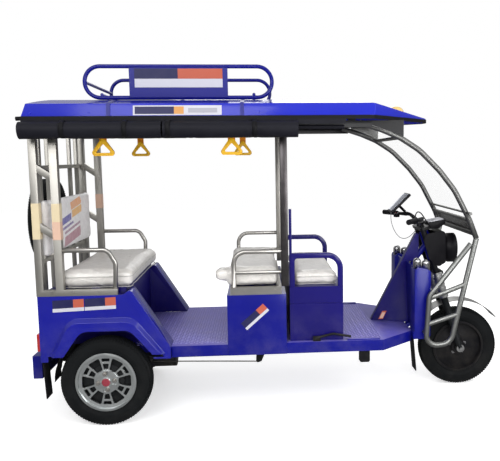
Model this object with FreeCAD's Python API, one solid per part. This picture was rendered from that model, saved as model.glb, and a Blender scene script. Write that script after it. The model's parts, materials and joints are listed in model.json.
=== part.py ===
import FreeCAD, Part
import math
import os

# Battery three wheeler with a passenger bench at the rear, a bench back to back
# with the driver's seat, and one steered wheel in front.
# Millimetres. X runs forward from the rear axle, Y to the left, Z up from the ground.
# The exported pieces are moved so that the middle of the length is at X zero.

V = FreeCAD.Vector

# running gear
wheelbase = 2097
wheel_inset = 35
tyre_radius = 246
tyre_width = 96
rim_radius = 158
rake_angle = 18
fit_gap = 0.3
running_gap = 0.06
turn_gap = 6
overrun = 20

# body sheet metal
sheet = 4
body_half_width = 452
rear_bulge = 18
floor_top = 428
sill_bottom = 365
rear_panel_back = -340
rear_deck_top = 727
seat_front_x = 114
wing_foot_x = 352
wing_peak_x = 146
wing_peak_z = 757
wing_bend = 45

# rear wheel arch and its flare
well_radius = 298
well_width = 121
arch_bottom = 396
arch_top = 534
arch_strip_x = -300
arch_corners_x = (-215, -118, 140, 258)
arch_bends = (0, 70, 70, 40)
flare_top = 602
flare_corners_x = (-288, -186, 160, 322)
flare_bends = (0, 90, 90, 0)
flare_depth = 24
flare_slope = 20

# floor
floor_nose_setback = 362
floor_nose_half = 283
floor_taper_setback = 564
bead_height = 8
bead_width = 26

# chassis
rail_half = 290
rail_width = 40
rail_height = 54
chassis_back_x = -334
chassis_front_setback = 487
cross_width = 40
cross_shares = (0.0, 0.2, 0.46, 0.7, 0.86, 1.0)

# axle, springs and drive
axle_tube_radius = 34
half_shaft_radius = 17
diff_radius = 86
diff_width = 120
motor_radius = 92
motor_length = 210
spring_half_y = 310
spring_half_length = 290
leaf_width = 44
leaf_thickness = 8
leaf_count = 3
spring_eye_z = 338
backing_radius = 100
backing_thickness = 5
battery_length = 330
battery_width = 540
battery_height = 210

# rear wheel rim
barrel_wall = 8
rim_width = 92
lip_height = 5
lip_width = 4
spoke_face_y = 30
spoke_depth = 14
hub_radius = 64
cap_radius = 24
lug_count = 4
lug_reach = 45
lug_radius = 12
lug_turn = 8
drum_radius = 92
drum_width = 50
window_count = 6
window_inner_radius = 67
window_outer_radius = 136
window_half_angle = 15
window_round = 9
slot_half_angle = 10
slot_inner_radius = 113
slot_outer_radius = 132
slot_round = 5
keyhole_inner_radius = 71
keyhole_outer_radius = 101
keyhole_half_angle = 9.5

# posts and roof
post_side = 38
post_front_side = 40
post_back_x = -342
post_second_x = -239
mid_post_x = 963
mid_post_side = 40
base_bar_height = 33
base_bar_end_x = 82
roof_rail_z = 1610
roof_rail_side = 36
brace_height = 42
upper_brace_z = 1406
lower_brace_z = 1098
brace_drop = 45
roof_edge_z = 1652
roof_shoulder_z = 1735
roof_crown_z = 1790
roof_overhang = 60
roof_back_x = -353
roof_front_setback = 226
roof_shoulder_setback = 635
roof_tip_half = 50
roof_tip_round = 60
roof_back_slope = 27
roof_side_slope = 16
roof_tip_z = 1676
roof_wall = 5
bow_height = 26
bow_count = 6
bow_setback = 3.5

# rear back frame
back_bar = 22
upright_inset = 120
upright_near_y = 205
upper_bar_z = 1410
lower_bar_z = 905

# seats
seat_inset = 42
rear_cushion_front_x = 162
bearer_width = 44
bearer_inset = 54
rear_cushion_back_x = -250
rear_cushion_top = 852
rear_cushion_soft = 34
backrest_bottom = 925
backrest_top = 1245
backrest_thickness = 46
backrest_round = 20
mid_box_back_x = 663
mid_box_front_x = 988
mid_box_top = 704
mid_ring_height = 43
mid_cushion_back_x = 660
mid_tongue_back_x = 592
mid_tongue_width = 96
mid_tongue_low = 777
mid_tongue_round = 30
mid_cushion_front_x = 955
mid_cushion_top = 848
driver_box_back_x = 1009
driver_box_front_x = 1309
driver_box_inset = 29
driver_box_top = 736
driver_cushion_top = 812
driver_cushion_back_x = 1030
driver_cushion_front_x = 1288
driver_cushion_inset = 39
cushion_soft = 26
groove_z = 637
groove_depth = 2
groove_height = 6

# seat side rails
rail_tube_radius = 12.5
rear_hoop_top = 970
rear_hoop_inset = 18
mid_hoop_top = 941
mid_hoop_inset = 13
mid_hoop_mid_z = 827
driver_hoop_top = 925
driver_hoop_band = 30
driver_upright_z = 1170
driver_hoop_thickness = 22

# front frame, cowl and guards
head_setback = 227
head_z = 1000
head_tube_radius = 30
head_tube_length = 190
head_tube_low_share = 0.95
down_tube_radius = 18
down_tube_y = 60
down_knee_setback = 291
down_neck_setback = 285
down_neck_y = 3
down_neck_z = 800
down_bend = 110
pod_back_setback = 355
pod_front_setback = 261
pod_inner_half = 214
pod_outer_half = 326
pod_top = 815
pod_bottom = 386
pod_round = 22
shield_setback = 337
shield_top = 800
lamp_dome_radius = 30
console_back_half = 22
console_front_half = 96
console_foot_setback = 557
console_top_z = 972
console_top_back_setback = 275
console_top_front_setback = 259
console_neck_half = 28
guard_half = 360
guard_tube_radius = 15.5
guard_top_setback = 9
guard_top_z = 980
guard_low_setback = 149
guard_low_z = 365
guard_back_setback = 297
guard_upright_setback = 279
guard_bend = 70
guard_bar_shares = ((0.05, 0.435), (0.56, 0.72))
guard_upright_z = 648
screen_tube_radius = 15.5
screen_line = ((685, 1640), (561, 1600), (457, 1556), (345, 1484), (229, 1368), (141, 1256), (51, 1086))
screen_tube_bend = 290
screen_bar_radius = 10.4
gusset_back_setback = 625
gusset_front_setback = 441
gusset_back_z = 1628
gusset_front_z = 1562
gusset_thickness = 3
signal_bar_z = 1130
signal_bar_end = 447
signal_bar_radius = 6.5
signal_cap_radius = 9
signal_cap_length = 24
screen_half = guard_half
screen_glass_thickness = 5
screen_panel_thickness = 4
screen_panel_top_z = 1092

# roof rack
rack_half_width = 309
rack_back_x = -78
rack_front_x = 931
rack_sink = 7
rack_height = 167
rack_tube_radius = 11
rack_tie_gap = 4.5
rack_front_tie_gap = 16.5
rack_middle_x = 425
rack_strap_places = (78, 760)
rack_strap_width = 19
rack_strap_thickness = 3
rack_strap_end_z = 1668
board_back_x = 160
board_front_x = 690
board_step = 8
board_thickness = 4

# curtain rolls
roll_radius = 46.5
roll_outset = 78
roll_z = 1603.5
roll_back_x = -350
roll_front_x = 1058
strap_grow = 1.2
strap_width = 26
strap_shares = (0.12, 0.36, 0.62, 0.88)
valance_front_setback = 787
valance_radius = 13

# grab handles
handle_width = 148
handle_height = 106
handle_bar = 12
handle_grip = 17
handle_strap = 40
handle_top_z = 1575
handle_inset = 98
handle_bar_z = 1632
handle_places = ((19, -1), (705, -1), (82, 1), (748, 1))

# spare wheel and rear step
spare_x = -405
spare_z = 1094
step_back_x = -405
step_front_x = -355
step_bottom = 256
step_top = 384
step_inset = 60
flap_thickness = 6
flap_width = 90
rear_flap_inset = 51
rear_flap_bottom = 158
front_flap_setback = 361
front_flap_y = 268
front_flap_bottom = 188

# steering
stem_radius = 14
fork_half = 78
fork_tube_radius = 18
fork_slider_radius = 21
fork_cover_radius = 30
crown_top_z = 1004
crown_low_z = 722
crown_thickness = 16
crown_round = 30
cover_low_z = 578
cover_ribs = 6
axle_pin_radius = 8
bar_radius = 11
riser_height = 26
grip_setback = 397
grip_half = 345
grip_z = 1078
grip_length = 118
grip_radius = 16
lever_reach = 34
bar_bend_half = 150
nacelle_radius = 92
nacelle_z = 878
nacelle_back_setback = 125
nacelle_front_setback = 29
shroud_half = 104
shroud_line = ((229, 978), (112, 998), (107, 800), (152, 772), (213, 826), (245, 940))
shroud_hood_setback = 169
shroud_bends = (14, 20, 10, 20, 30, 30)
lens_thickness = 8
dash_back_setback = 208.5
dash_low_setback = 147
dash_front_setback = 101
dash_half = 62
dash_bottom = 1004
dash_back_top = 1044
dash_front_top = 1062
dash_front_low = 1036
display_half = 66
display_height = 168
display_thickness = 18
display_y = 188
display_foot_setback = 397
display_foot_z = 1092
display_arm_share = 0.42
display_lean = 46
fender_radius = 302
fender_half = fork_half - fork_slider_radius - fit_gap
fender_wall = 3
fender_start = 38
fender_end = 140

# front wheel
front_rim_width = 92
front_disc_thickness = 6
front_hub_radius = 46
front_hub_half = 52
front_drum_radius = 70

# lever, pedal and rod
rod_radius = 6
rod_inset = 78
rod_z = 346
rod_back_x = 112
rod_front_x = 812
lever_back_x = 1150
lever_front_x = 1350
lever_outset = 15
lever_bar = 14

# small lamps
tail_lamp_inset = 50
tail_lamp_z = 470
tail_lamp_height = 96
tail_lamp_width = 66
tail_lamp_depth = 22
beacon_setback = 404
beacon_radius = 54
beacon_height = 56

# worked out widths
rear_half_width = body_half_width + rear_bulge
roof_half_width = rear_half_width + roof_overhang
roll_half_y = rear_half_width + roll_outset
rear_hoop_half = rear_half_width - rear_hoop_inset
mid_hoop_half = body_half_width - mid_hoop_inset
well_inner_half = rear_half_width - well_width
bearer_half = rear_half_width - bearer_inset
seat_half_width = rear_half_width - seat_inset
driver_box_half = body_half_width - driver_box_inset
driver_cushion_half = driver_box_half - driver_cushion_inset
handle_half_y = rear_half_width - handle_inset
lever_y = driver_box_half + lever_outset
rod_y = body_half_width - rod_inset
rear_flap_y = rear_half_width - rear_flap_inset
tail_lamp_y = rear_half_width - tail_lamp_inset
upright_far_y = rear_half_width - upright_inset
step_half = rear_half_width - step_inset
rear_track = 2 * (rear_half_width - wheel_inset)
mid_cushion_half = mid_hoop_half - rail_tube_radius - fit_gap

# worked out heights of the rack
rack_bottom_z = roof_crown_z - rack_sink
rack_top_z = rack_bottom_z + rack_height
rack_tie_x = rack_back_x + rack_height / 2 + rack_tie_gap
rack_front_tie_x = rack_front_x - rack_height / 2 - rack_front_tie_gap
board_bottom_z = rack_bottom_z
board_top_z = rack_top_z - board_step

# worked out places along the front
floor_nose_x = wheelbase - floor_nose_setback
floor_taper_x = wheelbase - floor_taper_setback
chassis_front_x = wheelbase - chassis_front_setback
roof_front_x = wheelbase - roof_front_setback
roof_shoulder_x = wheelbase - roof_shoulder_setback
head_x = wheelbase - head_setback
down_knee_x = wheelbase - down_knee_setback
down_neck_x = wheelbase - down_neck_setback
pod_back_x = wheelbase - pod_back_setback
pod_front_x = wheelbase - pod_front_setback
shield_x = wheelbase - shield_setback
console_foot_x = wheelbase - console_foot_setback
console_top_back_x = wheelbase - console_top_back_setback
console_top_front_x = wheelbase - console_top_front_setback
guard_top_x = wheelbase - guard_top_setback
guard_low_x = wheelbase - guard_low_setback
guard_back_x = wheelbase - guard_back_setback
guard_upright_x = wheelbase - guard_upright_setback
nacelle_back_x = wheelbase - nacelle_back_setback
nacelle_front_x = wheelbase - nacelle_front_setback
dash_back_x = wheelbase - dash_back_setback
dash_low_x = wheelbase - dash_low_setback
dash_front_x = wheelbase - dash_front_setback
display_foot_x = wheelbase - display_foot_setback
front_flap_x = wheelbase - front_flap_setback
beacon_x = wheelbase - beacon_setback
gusset_back_x = wheelbase - gusset_back_setback
gusset_front_x = wheelbase - gusset_front_setback
grip_x = wheelbase - grip_setback
valance_front_x = wheelbase - valance_front_setback
shroud_hood_x = wheelbase - shroud_hood_setback

# other worked out places
spare_back_x = spare_x - tyre_width / 2
datum_x = (wheelbase + tyre_radius + spare_back_x) / 2
rake = math.radians(rake_angle)
wheel_y = rear_track / 2
floor_bottom = floor_top - sheet
rail_bottom = floor_bottom - rail_height
post_outer = rear_half_width
post_inner = rear_half_width - post_side
base_bar_top = rear_deck_top + base_bar_height
mid_ring_top = mid_box_top + mid_ring_height


def save(node, shape):
    shape.translated(V(-datum_x, 0, 0)).exportStep("parts/" + node + ".step")


def box(x0, x1, y0, y1, z0, z1):
    return Part.makeBox(x1 - x0, y1 - y0, z1 - z0, V(x0, y0, z0))


def rod(start, end, radius):
    along = end - start
    return Part.makeCylinder(radius, along.Length, start, along)


def mirrored(shape):
    return shape.mirror(V(0, 0, 0), V(0, 1, 0))


def both_sides(shape):
    return Part.makeCompound([shape, mirrored(shape)])


def join(shapes):
    first = shapes[0]
    return first.fuse(shapes[1:]).removeSplitter() if len(shapes) > 1 else first


def corner_arc(before, corner, after, bend):
    # the round between two straight runs, cut short where the runs are short
    room_share = 0.49
    into = (before - corner).normalize()
    out = (after - corner).normalize()
    half_turn = (math.pi - into.getAngle(out)) / 2
    room = room_share * min((before - corner).Length, (after - corner).Length)
    reach = min(bend * math.tan(half_turn), room)
    radius = reach / math.tan(half_turn)
    middle = (into + out).normalize() * (radius / math.cos(half_turn) - radius)
    return corner + into * reach, corner + middle, corner + out * reach


def bent_path(points, bend):
    edges = []
    last = points[0]
    for before, corner, after in zip(points, points[1:], points[2:]):
        start, middle, end = corner_arc(before, corner, after, bend)
        edges.append(Part.LineSegment(last, start).toShape())
        edges.append(Part.Arc(start, middle, end).toShape())
        last = end
    edges.append(Part.LineSegment(last, points[-1]).toShape())
    return Part.Wire(edges)


def bent_tube(points, bend, radius):
    ring = Part.Wire([Part.makeCircle(radius, points[0], points[1] - points[0])])
    return bent_path(points, bend).makePipeShell([ring], True, False)


def outline(points, bend):
    # closed outline with each corner rounded, or sharp where its bend is zero
    count = len(points)
    bends = bend if isinstance(bend, (list, tuple)) else [bend] * count
    ends = []
    for index, corner in enumerate(points):
        if bends[index]:
            before = points[index - 1]
            after = points[(index + 1) % count]
            ends.append(corner_arc(before, corner, after, bends[index]))
        else:
            ends.append((corner, None, corner))
    edges = []
    for index, (start, middle, end) in enumerate(ends):
        if middle:
            edges.append(Part.Arc(start, middle, end).toShape())
        following = ends[(index + 1) % count][0]
        if (following - end).Length > fit_gap / 100:
            edges.append(Part.LineSegment(end, following).toShape())
    return Part.Wire(edges)


def side_plate(corners, bend, y0, y1):
    face = Part.Face(outline([V(x, y0, z) for x, z in corners], bend))
    return face.extrude(V(0, y1 - y0, 0))


def cross_plate(corners, bend, x0, x1):
    face = Part.Face(outline([V(x0, y, z) for y, z in corners], bend))
    return face.extrude(V(x1 - x0, 0, 0))


def level_plate(corners, bend, z0, z1):
    face = Part.Face(outline([V(x, y, z0) for x, y in corners], bend))
    return face.extrude(V(0, 0, z1 - z0))


def turned(profile, centre):
    # a solid of revolution about the wheel's own axis, from points of radius and width
    points = [V(centre.x, centre.y + y, centre.z + r) for r, y in profile]
    face = Part.Face(Part.makePolygon(points + points[:1]))
    return face.revolve(centre, V(0, 1, 0), 360)


# wheels

def tyre(centre):
    bead = tyre_width * 0.39
    bulge = tyre_width / 2
    inner = rim_radius
    wall_r = rim_radius + (tyre_radius - rim_radius) * 0.48
    shoulder_r = tyre_radius - tyre_width * 0.1
    shoulder = tyre_width * 0.41

    def spot(r, y):
        return V(centre.x, centre.y + y, centre.z + r)

    edges = [
        Part.LineSegment(spot(inner, -bead), spot(inner, bead)).toShape(),
        Part.Arc(spot(inner, bead), spot(wall_r, bulge), spot(shoulder_r, shoulder)).toShape(),
        Part.Arc(spot(shoulder_r, shoulder), spot(tyre_radius, 0), spot(shoulder_r, -shoulder)).toShape(),
        Part.Arc(spot(shoulder_r, -shoulder), spot(wall_r, -bulge), spot(inner, -bead)).toShape(),
    ]
    return Part.Face(Part.Wire(edges)).revolve(centre, V(0, 1, 0), 360)


def barrel_profile(width, outer):
    half = width / 2
    inner = outer - barrel_wall
    lip = outer + lip_height
    return [
        (inner, -half), (inner, half), (lip, half), (lip, half - lip_width),
        (outer, half - lip_width), (outer, lip_width - half), (lip, lip_width - half), (lip, -half),
    ]


def sector(centre, inner, outer, angle, half_angle, y0, y1, bend):
    # a window between two radii, its sides along spokes
    corners = []
    for radius, side in ((inner, -1), (outer, -1), (outer, 1), (inner, 1)):
        turn = math.radians(angle + side * half_angle)
        corners.append((centre.x + radius * math.sin(turn), centre.z + radius * math.cos(turn)))
    return side_plate(corners, bend, y0, y1)


def alloy_rim(centre, side):
    # barrel, twin spoke disc with cut windows, hub, drum and the stub of its half shaft
    outer = rim_radius - fit_gap
    barrel = turned(barrel_profile(rim_width, outer), centre)
    face_out = centre.y + side * spoke_face_y
    face_in = face_out - side * spoke_depth
    low, high = min(face_in, face_out), max(face_in, face_out)
    disc = Part.makeCylinder(outer - barrel_wall / 2, high - low, V(centre.x, low, centre.z), V(0, 1, 0))
    cuts = []
    step = 360 / window_count
    y0, y1 = low - overrun, high + overrun
    for index in range(window_count):
        angle = index * step
        cuts.append(sector(centre, window_inner_radius, window_outer_radius, angle + step / 2,
                           window_half_angle, y0, y1, window_round))
        cuts.append(sector(centre, slot_inner_radius, slot_outer_radius, angle, slot_half_angle, y0, y1, slot_round))
        cuts.append(sector(centre, keyhole_inner_radius, keyhole_outer_radius, angle, keyhole_half_angle,
                           y0, y1, slot_round))
    disc = disc.cut(cuts)
    hub_out = face_out + side * spoke_depth / 2
    drum_in = centre.y - side * (rim_width / 2 - turn_gap)
    drum = rod(V(centre.x, drum_in, centre.z), V(centre.x, drum_in + side * drum_width, centre.z), drum_radius)
    hub = rod(V(centre.x, drum_in, centre.z), V(centre.x, hub_out, centre.z), hub_radius)
    cap = rod(V(centre.x, hub_out, centre.z), V(centre.x, hub_out + side * cap_radius / 3, centre.z), cap_radius)
    shaft_in = drum_in - side * (drum_width + turn_gap)
    shaft = rod(V(centre.x, shaft_in, centre.z), V(centre.x, hub_out, centre.z), half_shaft_radius)
    wheel = join([barrel, disc, drum, hub, cap, shaft])
    return wheel.cut(lug_recesses(centre, hub_out, side))


def lug_recesses(centre, hub_out, side):
    recesses = []
    for index in range(lug_count):
        turn = math.radians(lug_turn + index * 360 / lug_count)
        start = V(centre.x + lug_reach * math.sin(turn), hub_out - side * spoke_depth / 2,
                  centre.z + lug_reach * math.cos(turn))
        recesses.append(rod(start, start + V(0, side * overrun, 0), lug_radius))
    return recesses


def steel_rim(centre):
    # pressed disc wheel with a dished centre, its drum hub bored for the axle pin
    outer = rim_radius - fit_gap
    barrel = turned(barrel_profile(front_rim_width, outer), centre)
    inner = outer - barrel_wall
    dish = front_hub_half * 0.4
    shapes = [barrel]
    for side in (-1, 1):
        profile = [
            (front_hub_radius / 2, side * dish), (front_drum_radius, side * dish),
            (inner * 0.72, side * dish * 0.4), (inner + barrel_wall / 2, side * dish * 0.4),
            (inner + barrel_wall / 2, side * (dish * 0.4 + front_disc_thickness)),
            (inner * 0.72, side * (dish * 0.4 + front_disc_thickness)),
            (front_drum_radius, side * (dish + front_disc_thickness)),
            (front_hub_radius / 2, side * (dish + front_disc_thickness)),
        ]
        shapes.append(turned(profile, centre))
    hub = rod(centre - V(0, front_hub_half, 0), centre + V(0, front_hub_half, 0), front_hub_radius)
    bore = rod(centre - V(0, rear_track, 0), centre + V(0, rear_track, 0), axle_pin_radius + running_gap)
    return join(shapes + [hub]).cut(bore)


# axle, springs and chassis

def rear_axle():
    end = wheel_y - rim_width / 2 + turn_gap - backing_thickness - turn_gap
    centre = V(0, 0, tyre_radius)
    tube = rod(V(0, -end, tyre_radius), V(0, end, tyre_radius), axle_tube_radius)
    casing = rod(V(0, -diff_width / 2, tyre_radius), V(0, diff_width / 2, tyre_radius), diff_radius)
    nose = rod(centre, V(diff_radius * 1.3, 0, tyre_radius), diff_radius * 0.5)
    shapes = [tube, casing, nose]
    for side in (-1, 1):
        shapes.append(rod(V(0, side * end, tyre_radius),
                          V(0, side * (end + backing_thickness), tyre_radius), backing_radius))
        pad = box(-leaf_width, leaf_width, side * spring_half_y - leaf_width / 2,
                  side * spring_half_y + leaf_width / 2, tyre_radius,
                  tyre_radius + axle_tube_radius + leaf_thickness)
        shapes.append(pad)
    axle = join(shapes)
    bore_reach = drum_width + 2 * turn_gap + backing_thickness + overrun
    for side in (-1, 1):
        far = V(0, side * (end + overrun), tyre_radius)
        near = V(0, side * (end - bore_reach), tyre_radius)
        axle = axle.cut(rod(near, far, half_shaft_radius + running_gap))
    return axle


def drive_motor():
    x0 = diff_radius * 1.3
    return rod(V(x0, 0, tyre_radius), V(x0 + motor_length, 0, tyre_radius), motor_radius * 0.82)


def leaf_springs():
    # each spring is a stack of curved leaves, shorter towards the bottom, with hangers
    seat_z = tyre_radius + axle_tube_radius + leaf_thickness
    sets = []
    for side in (-1, 1):
        y0 = side * spring_half_y - leaf_width / 2
        leaves = []
        for index in range(leaf_count):
            share = 1 - 0.22 * (leaf_count - 1 - index)
            reach = spring_half_length * share
            base = seat_z + index * leaf_thickness
            lift = (spring_eye_z - seat_z - leaf_count * leaf_thickness) * share * share
            lower = Part.Arc(V(-reach, y0, base + lift), V(0, y0, base), V(reach, y0, base + lift))
            upper = Part.Arc(V(-reach, y0, base + lift + leaf_thickness), V(0, y0, base + leaf_thickness),
                             V(reach, y0, base + lift + leaf_thickness))
            face = Part.Face(Part.Wire([
                lower.toShape(), Part.LineSegment(lower.EndPoint, upper.EndPoint).toShape(),
                upper.toShape(), Part.LineSegment(upper.StartPoint, lower.StartPoint).toShape(),
            ]))
            leaves.append(face.extrude(V(0, leaf_width, 0)))
        for end in (-1, 1):
            x = end * (spring_half_length - leaf_thickness)
            leaves.append(box(x - leaf_thickness, x + leaf_thickness, y0, y0 + leaf_width,
                              spring_eye_z - leaf_thickness, rail_bottom))
        sets.append(join(leaves))
    return Part.makeCompound(sets)


def chassis_frame():
    shapes = []
    for side in (-1, 1):
        y = side * rail_half
        shapes.append(box(chassis_back_x, chassis_front_x, y - rail_width / 2, y + rail_width / 2,
                          rail_bottom, floor_bottom))
    length = chassis_front_x - chassis_back_x - cross_width
    for share in cross_shares:
        x = chassis_back_x + share * length
        shapes.append(box(x, x + cross_width, -rail_half, rail_half, rail_bottom, floor_bottom))
    return join(shapes)


def battery_pack():
    back = chassis_back_x + cross_width
    half = battery_width / 2
    return box(back, back + battery_length, -half, half, floor_bottom, floor_bottom + battery_height)


# body sheet metal

def floor_outline(inset):
    # half of the floor on each side: narrow between the wheel houses, tapering at the nose
    narrow = well_inner_half - sheet - inset
    half = body_half_width - inset
    nose = floor_nose_half
    right = [(seat_front_x - inset, -narrow), (wing_foot_x + inset, -narrow), (wing_foot_x + inset, -half),
             (floor_taper_x, -half), (floor_nose_x - inset, -nose)]
    return right + [(x, -y) for x, y in reversed(right)]


def floor_deck():
    # floor sheet with folded side skirts and a raised bead along the driver's footwell
    outer = level_plate(floor_outline(0), 0, sill_bottom, floor_top)
    inner = level_plate(floor_outline(sheet), 0, sill_bottom - overrun, floor_bottom)
    notch_half = down_tube_y + down_tube_radius + bead_height
    notch = box(floor_nose_x - sheet - overrun, floor_nose_x + overrun, -notch_half, notch_half,
                sill_bottom - overrun, floor_bottom)
    beads = []
    for side in (-1, 1):
        y1 = side * (body_half_width - sheet)
        y0 = y1 - side * bead_width
        beads.append(box(driver_box_front_x + overrun, floor_taper_x - overrun, min(y0, y1), max(y0, y1),
                         floor_top, floor_top + bead_height))
    return join([outer.cut([inner, notch])] + beads)


def side_profile():
    return [
        (rear_panel_back, sill_bottom), (rear_panel_back, rear_deck_top), (seat_front_x, rear_deck_top),
        (wing_peak_x, wing_peak_z), (wing_foot_x, floor_top), (wing_foot_x, sill_bottom),
    ]


def side_bends():
    return [0, 0, wing_bend, wing_bend, 0, 0]


def rear_side_panel(side):
    # the side sheet with a pressed wheel arch flare and the folded flange of its front wing
    skin_out = side * rear_half_width
    skin_in = side * (rear_half_width - sheet)
    flange_in = side * well_inner_half
    reach = side * overrun
    block = side_plate(side_profile(), side_bends(), flange_in, skin_out)
    hollow = Part.Face(outline([V(x, flange_in - reach, z) for x, z in side_profile()], side_bends()))
    hollow = hollow.makeOffset2D(-sheet).extrude(V(0, skin_in - flange_in + reach, 0))
    low, high = sorted((flange_in - reach, skin_in))
    behind = box(rear_panel_back - overrun, seat_front_x, low, high, sill_bottom - overrun, wing_peak_z)
    below = box(rear_panel_back - overrun, wing_foot_x + overrun, low, high, sill_bottom - overrun, floor_top)
    body = block.cut([hollow, behind, below])
    body = join([body, flare_bulge(side, 0)])
    low_z = sill_bottom - overrun
    back, back_top, front_top, front = arch_corners_x
    corners = [(arch_strip_x, low_z), (arch_strip_x, arch_bottom), (back, arch_bottom), (back_top, arch_top),
               (front_top, arch_top), (front, arch_bottom), (front, low_z)]
    opening = side_plate(corners, [0, 0, *arch_bends, 0], skin_in - reach,
                         skin_out + side * (flare_depth + overrun))
    return body.cut([flare_bulge(side, sheet), opening])


def rear_side_panels():
    return Part.makeCompound([rear_side_panel(-1), rear_side_panel(1)])


def flare_bulge(side, inset):
    # a shallow dome over the arch, its outline shrinking as it stands out
    y0 = side * (rear_half_width - inset - (fit_gap if inset else 0))
    y1 = side * (rear_half_width + flare_depth - inset)
    bottom = arch_bottom - (overrun if inset else 0)
    rings = []
    for y, shrink in ((y0, inset), (y1, inset + flare_slope)):
        back, back_top, front_top, front = flare_corners_x
        corners = [(back + shrink, bottom), (back_top + shrink / 2, flare_top - shrink),
                   (front_top - shrink / 2, flare_top - shrink), (front - shrink, bottom)]
        rings.append(outline([V(x, y, z) for x, z in corners], flare_bends))
    return Part.makeLoft(rings, True, True)


def rear_seat_base():
    # front panel, deck and tail panel of the seat box, with the walls and liners of the wheel houses
    half = rear_half_width - sheet
    inner = well_inner_half - sheet
    shapes = [
        box(seat_front_x - sheet, seat_front_x, -inner, inner, floor_bottom, rear_deck_top),
        box(rear_panel_back, seat_front_x, -half, half, rear_deck_top - sheet, rear_deck_top),
        box(rear_panel_back, rear_panel_back + sheet, -half, half, step_top, rear_deck_top),
    ]
    for x in (rear_cushion_back_x, (rear_cushion_back_x + seat_front_x) / 2, seat_front_x - bearer_width):
        shapes.append(box(x, x + bearer_width, -bearer_half, bearer_half, rear_deck_top, wing_peak_z))
    for side in (-1, 1):
        wall = side_plate(side_profile(), side_bends(), side * inner, side * well_inner_half)
        low, high = sorted((side * (inner - overrun), side * (well_inner_half + overrun)))
        ends = box(rear_panel_back - overrun, wing_foot_x + overrun, low, high, sill_bottom - overrun, floor_top)
        shapes.append(wall.cut(ends))
        shapes.append(wheel_well(side))
    return join(shapes)


def wheel_well(side):
    # curved liner over the tyre, from the inner wall out to the side sheet
    y0, y1 = sorted((side * (well_inner_half - sheet), side * (rear_half_width - sheet)))
    top = well_radius + sheet
    outer = Part.makeCylinder(top, y1 - y0, V(0, y0, tyre_radius), V(0, 1, 0))
    inner = Part.makeCylinder(well_radius, y1 - y0 + 2 * overrun, V(0, y0 - overrun, tyre_radius), V(0, 1, 0))
    keep = box(-top, top, y0, y1, floor_top, tyre_radius + top)
    return outer.cut(inner).common(keep)


def rear_step():
    # folded tread plate step on two arms
    plate = box(step_back_x, step_front_x, -step_half, step_half, step_bottom, step_top)
    hollow = box(step_back_x + sheet, step_front_x + overrun, -step_half + sheet, step_half - sheet,
                 step_bottom + sheet, step_top - sheet)
    arms = []
    for side in (-1, 1):
        y = side * rail_half
        arms.append(box(step_back_x + sheet, chassis_back_x, y - rail_width / 2, y + rail_width / 2,
                        rail_bottom, step_top - sheet))
    return join([plate.cut(hollow)] + arms)


def mud_flaps():
    flaps = []
    rear_x = rear_panel_back + sheet
    for side in (-1, 1):
        y = side * rear_flap_y
        corners = [
            (rear_x, sill_bottom + rail_width), (rear_x + flap_thickness, sill_bottom + rail_width),
            (rear_x + flap_thickness * 3, rear_flap_bottom), (rear_x + flap_thickness * 2, rear_flap_bottom),
        ]
        y0, y1 = y - flap_width / 2, y + flap_width / 2
        flaps.append(side_plate(corners, 0, y0, y1))
        y = side * front_flap_y
        corners = [
            (front_flap_x, pod_bottom), (front_flap_x + flap_thickness, pod_bottom),
            (front_flap_x + flap_thickness * 4, front_flap_bottom),
            (front_flap_x + flap_thickness * 3, front_flap_bottom),
        ]
        y0, y1 = y - flap_width / 2, y + flap_width / 2
        flaps.append(side_plate(corners, 0, y0, y1))
    return Part.makeCompound(flaps)


# seats and their boxes

def open_box(x0, x1, half, z0, z1):
    # sheet metal seat box, open below
    outer = box(x0, x1, -half, half, z0, z1)
    inner = box(x0 + sheet, x1 - sheet, sheet - half, half - sheet, z0 - overrun, z1 - sheet)
    return outer.cut(inner)


def mid_seat_box():
    # the box on the floor, with side sheets that carry on down over the sill
    core = open_box(mid_box_back_x, mid_box_front_x, body_half_width, floor_top, mid_box_top)
    cheeks = []
    for side in (-1, 1):
        y0, y1 = sorted((side * body_half_width, side * (body_half_width + sheet)))
        cheeks.append(box(mid_box_back_x, mid_box_front_x, y0, y1, sill_bottom, mid_box_top))
    return join([core] + cheeks)


def driver_seat_box():
    core = open_box(driver_box_back_x, driver_box_front_x, driver_box_half, floor_top, driver_box_top)
    ring = box(driver_box_back_x - overrun, driver_box_front_x + overrun, -driver_box_half - overrun,
               driver_box_half + overrun, groove_z, groove_z + groove_height)
    inner = box(driver_box_back_x + groove_depth, driver_box_front_x - groove_depth,
                groove_depth - driver_box_half, driver_box_half - groove_depth,
                groove_z - overrun, groove_z + overrun)
    return core.cut(ring.cut(inner))


def cushion(x0, x1, half, z0, z1, soft):
    body = box(x0, x1, -half, half, z0, z1)
    return body.makeFillet(soft, body.Edges)


def rear_seat_cushion():
    return cushion(rear_cushion_back_x, rear_cushion_front_x, seat_half_width, wing_peak_z + fit_gap,
                   rear_cushion_top, rear_cushion_soft)


def mid_seat_cushion():
    # the bench cushion, with a rounded flap that stands out behind it at the right
    bench = cushion(mid_cushion_back_x, mid_cushion_front_x, mid_cushion_half, mid_ring_top + fit_gap,
                    mid_cushion_top, cushion_soft)
    flap = cushion(mid_tongue_back_x, mid_cushion_back_x + 2 * mid_tongue_round, mid_tongue_width / 2, mid_tongue_low,
                   mid_cushion_top - fit_gap, mid_tongue_round)
    return join([bench, flap.translated(V(0, mid_tongue_width / 2 - mid_cushion_half, 0))])


def driver_seat_cushion():
    return cushion(driver_cushion_back_x, driver_cushion_front_x, driver_cushion_half,
                   driver_box_top + fit_gap, driver_cushion_top, cushion_soft)


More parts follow.
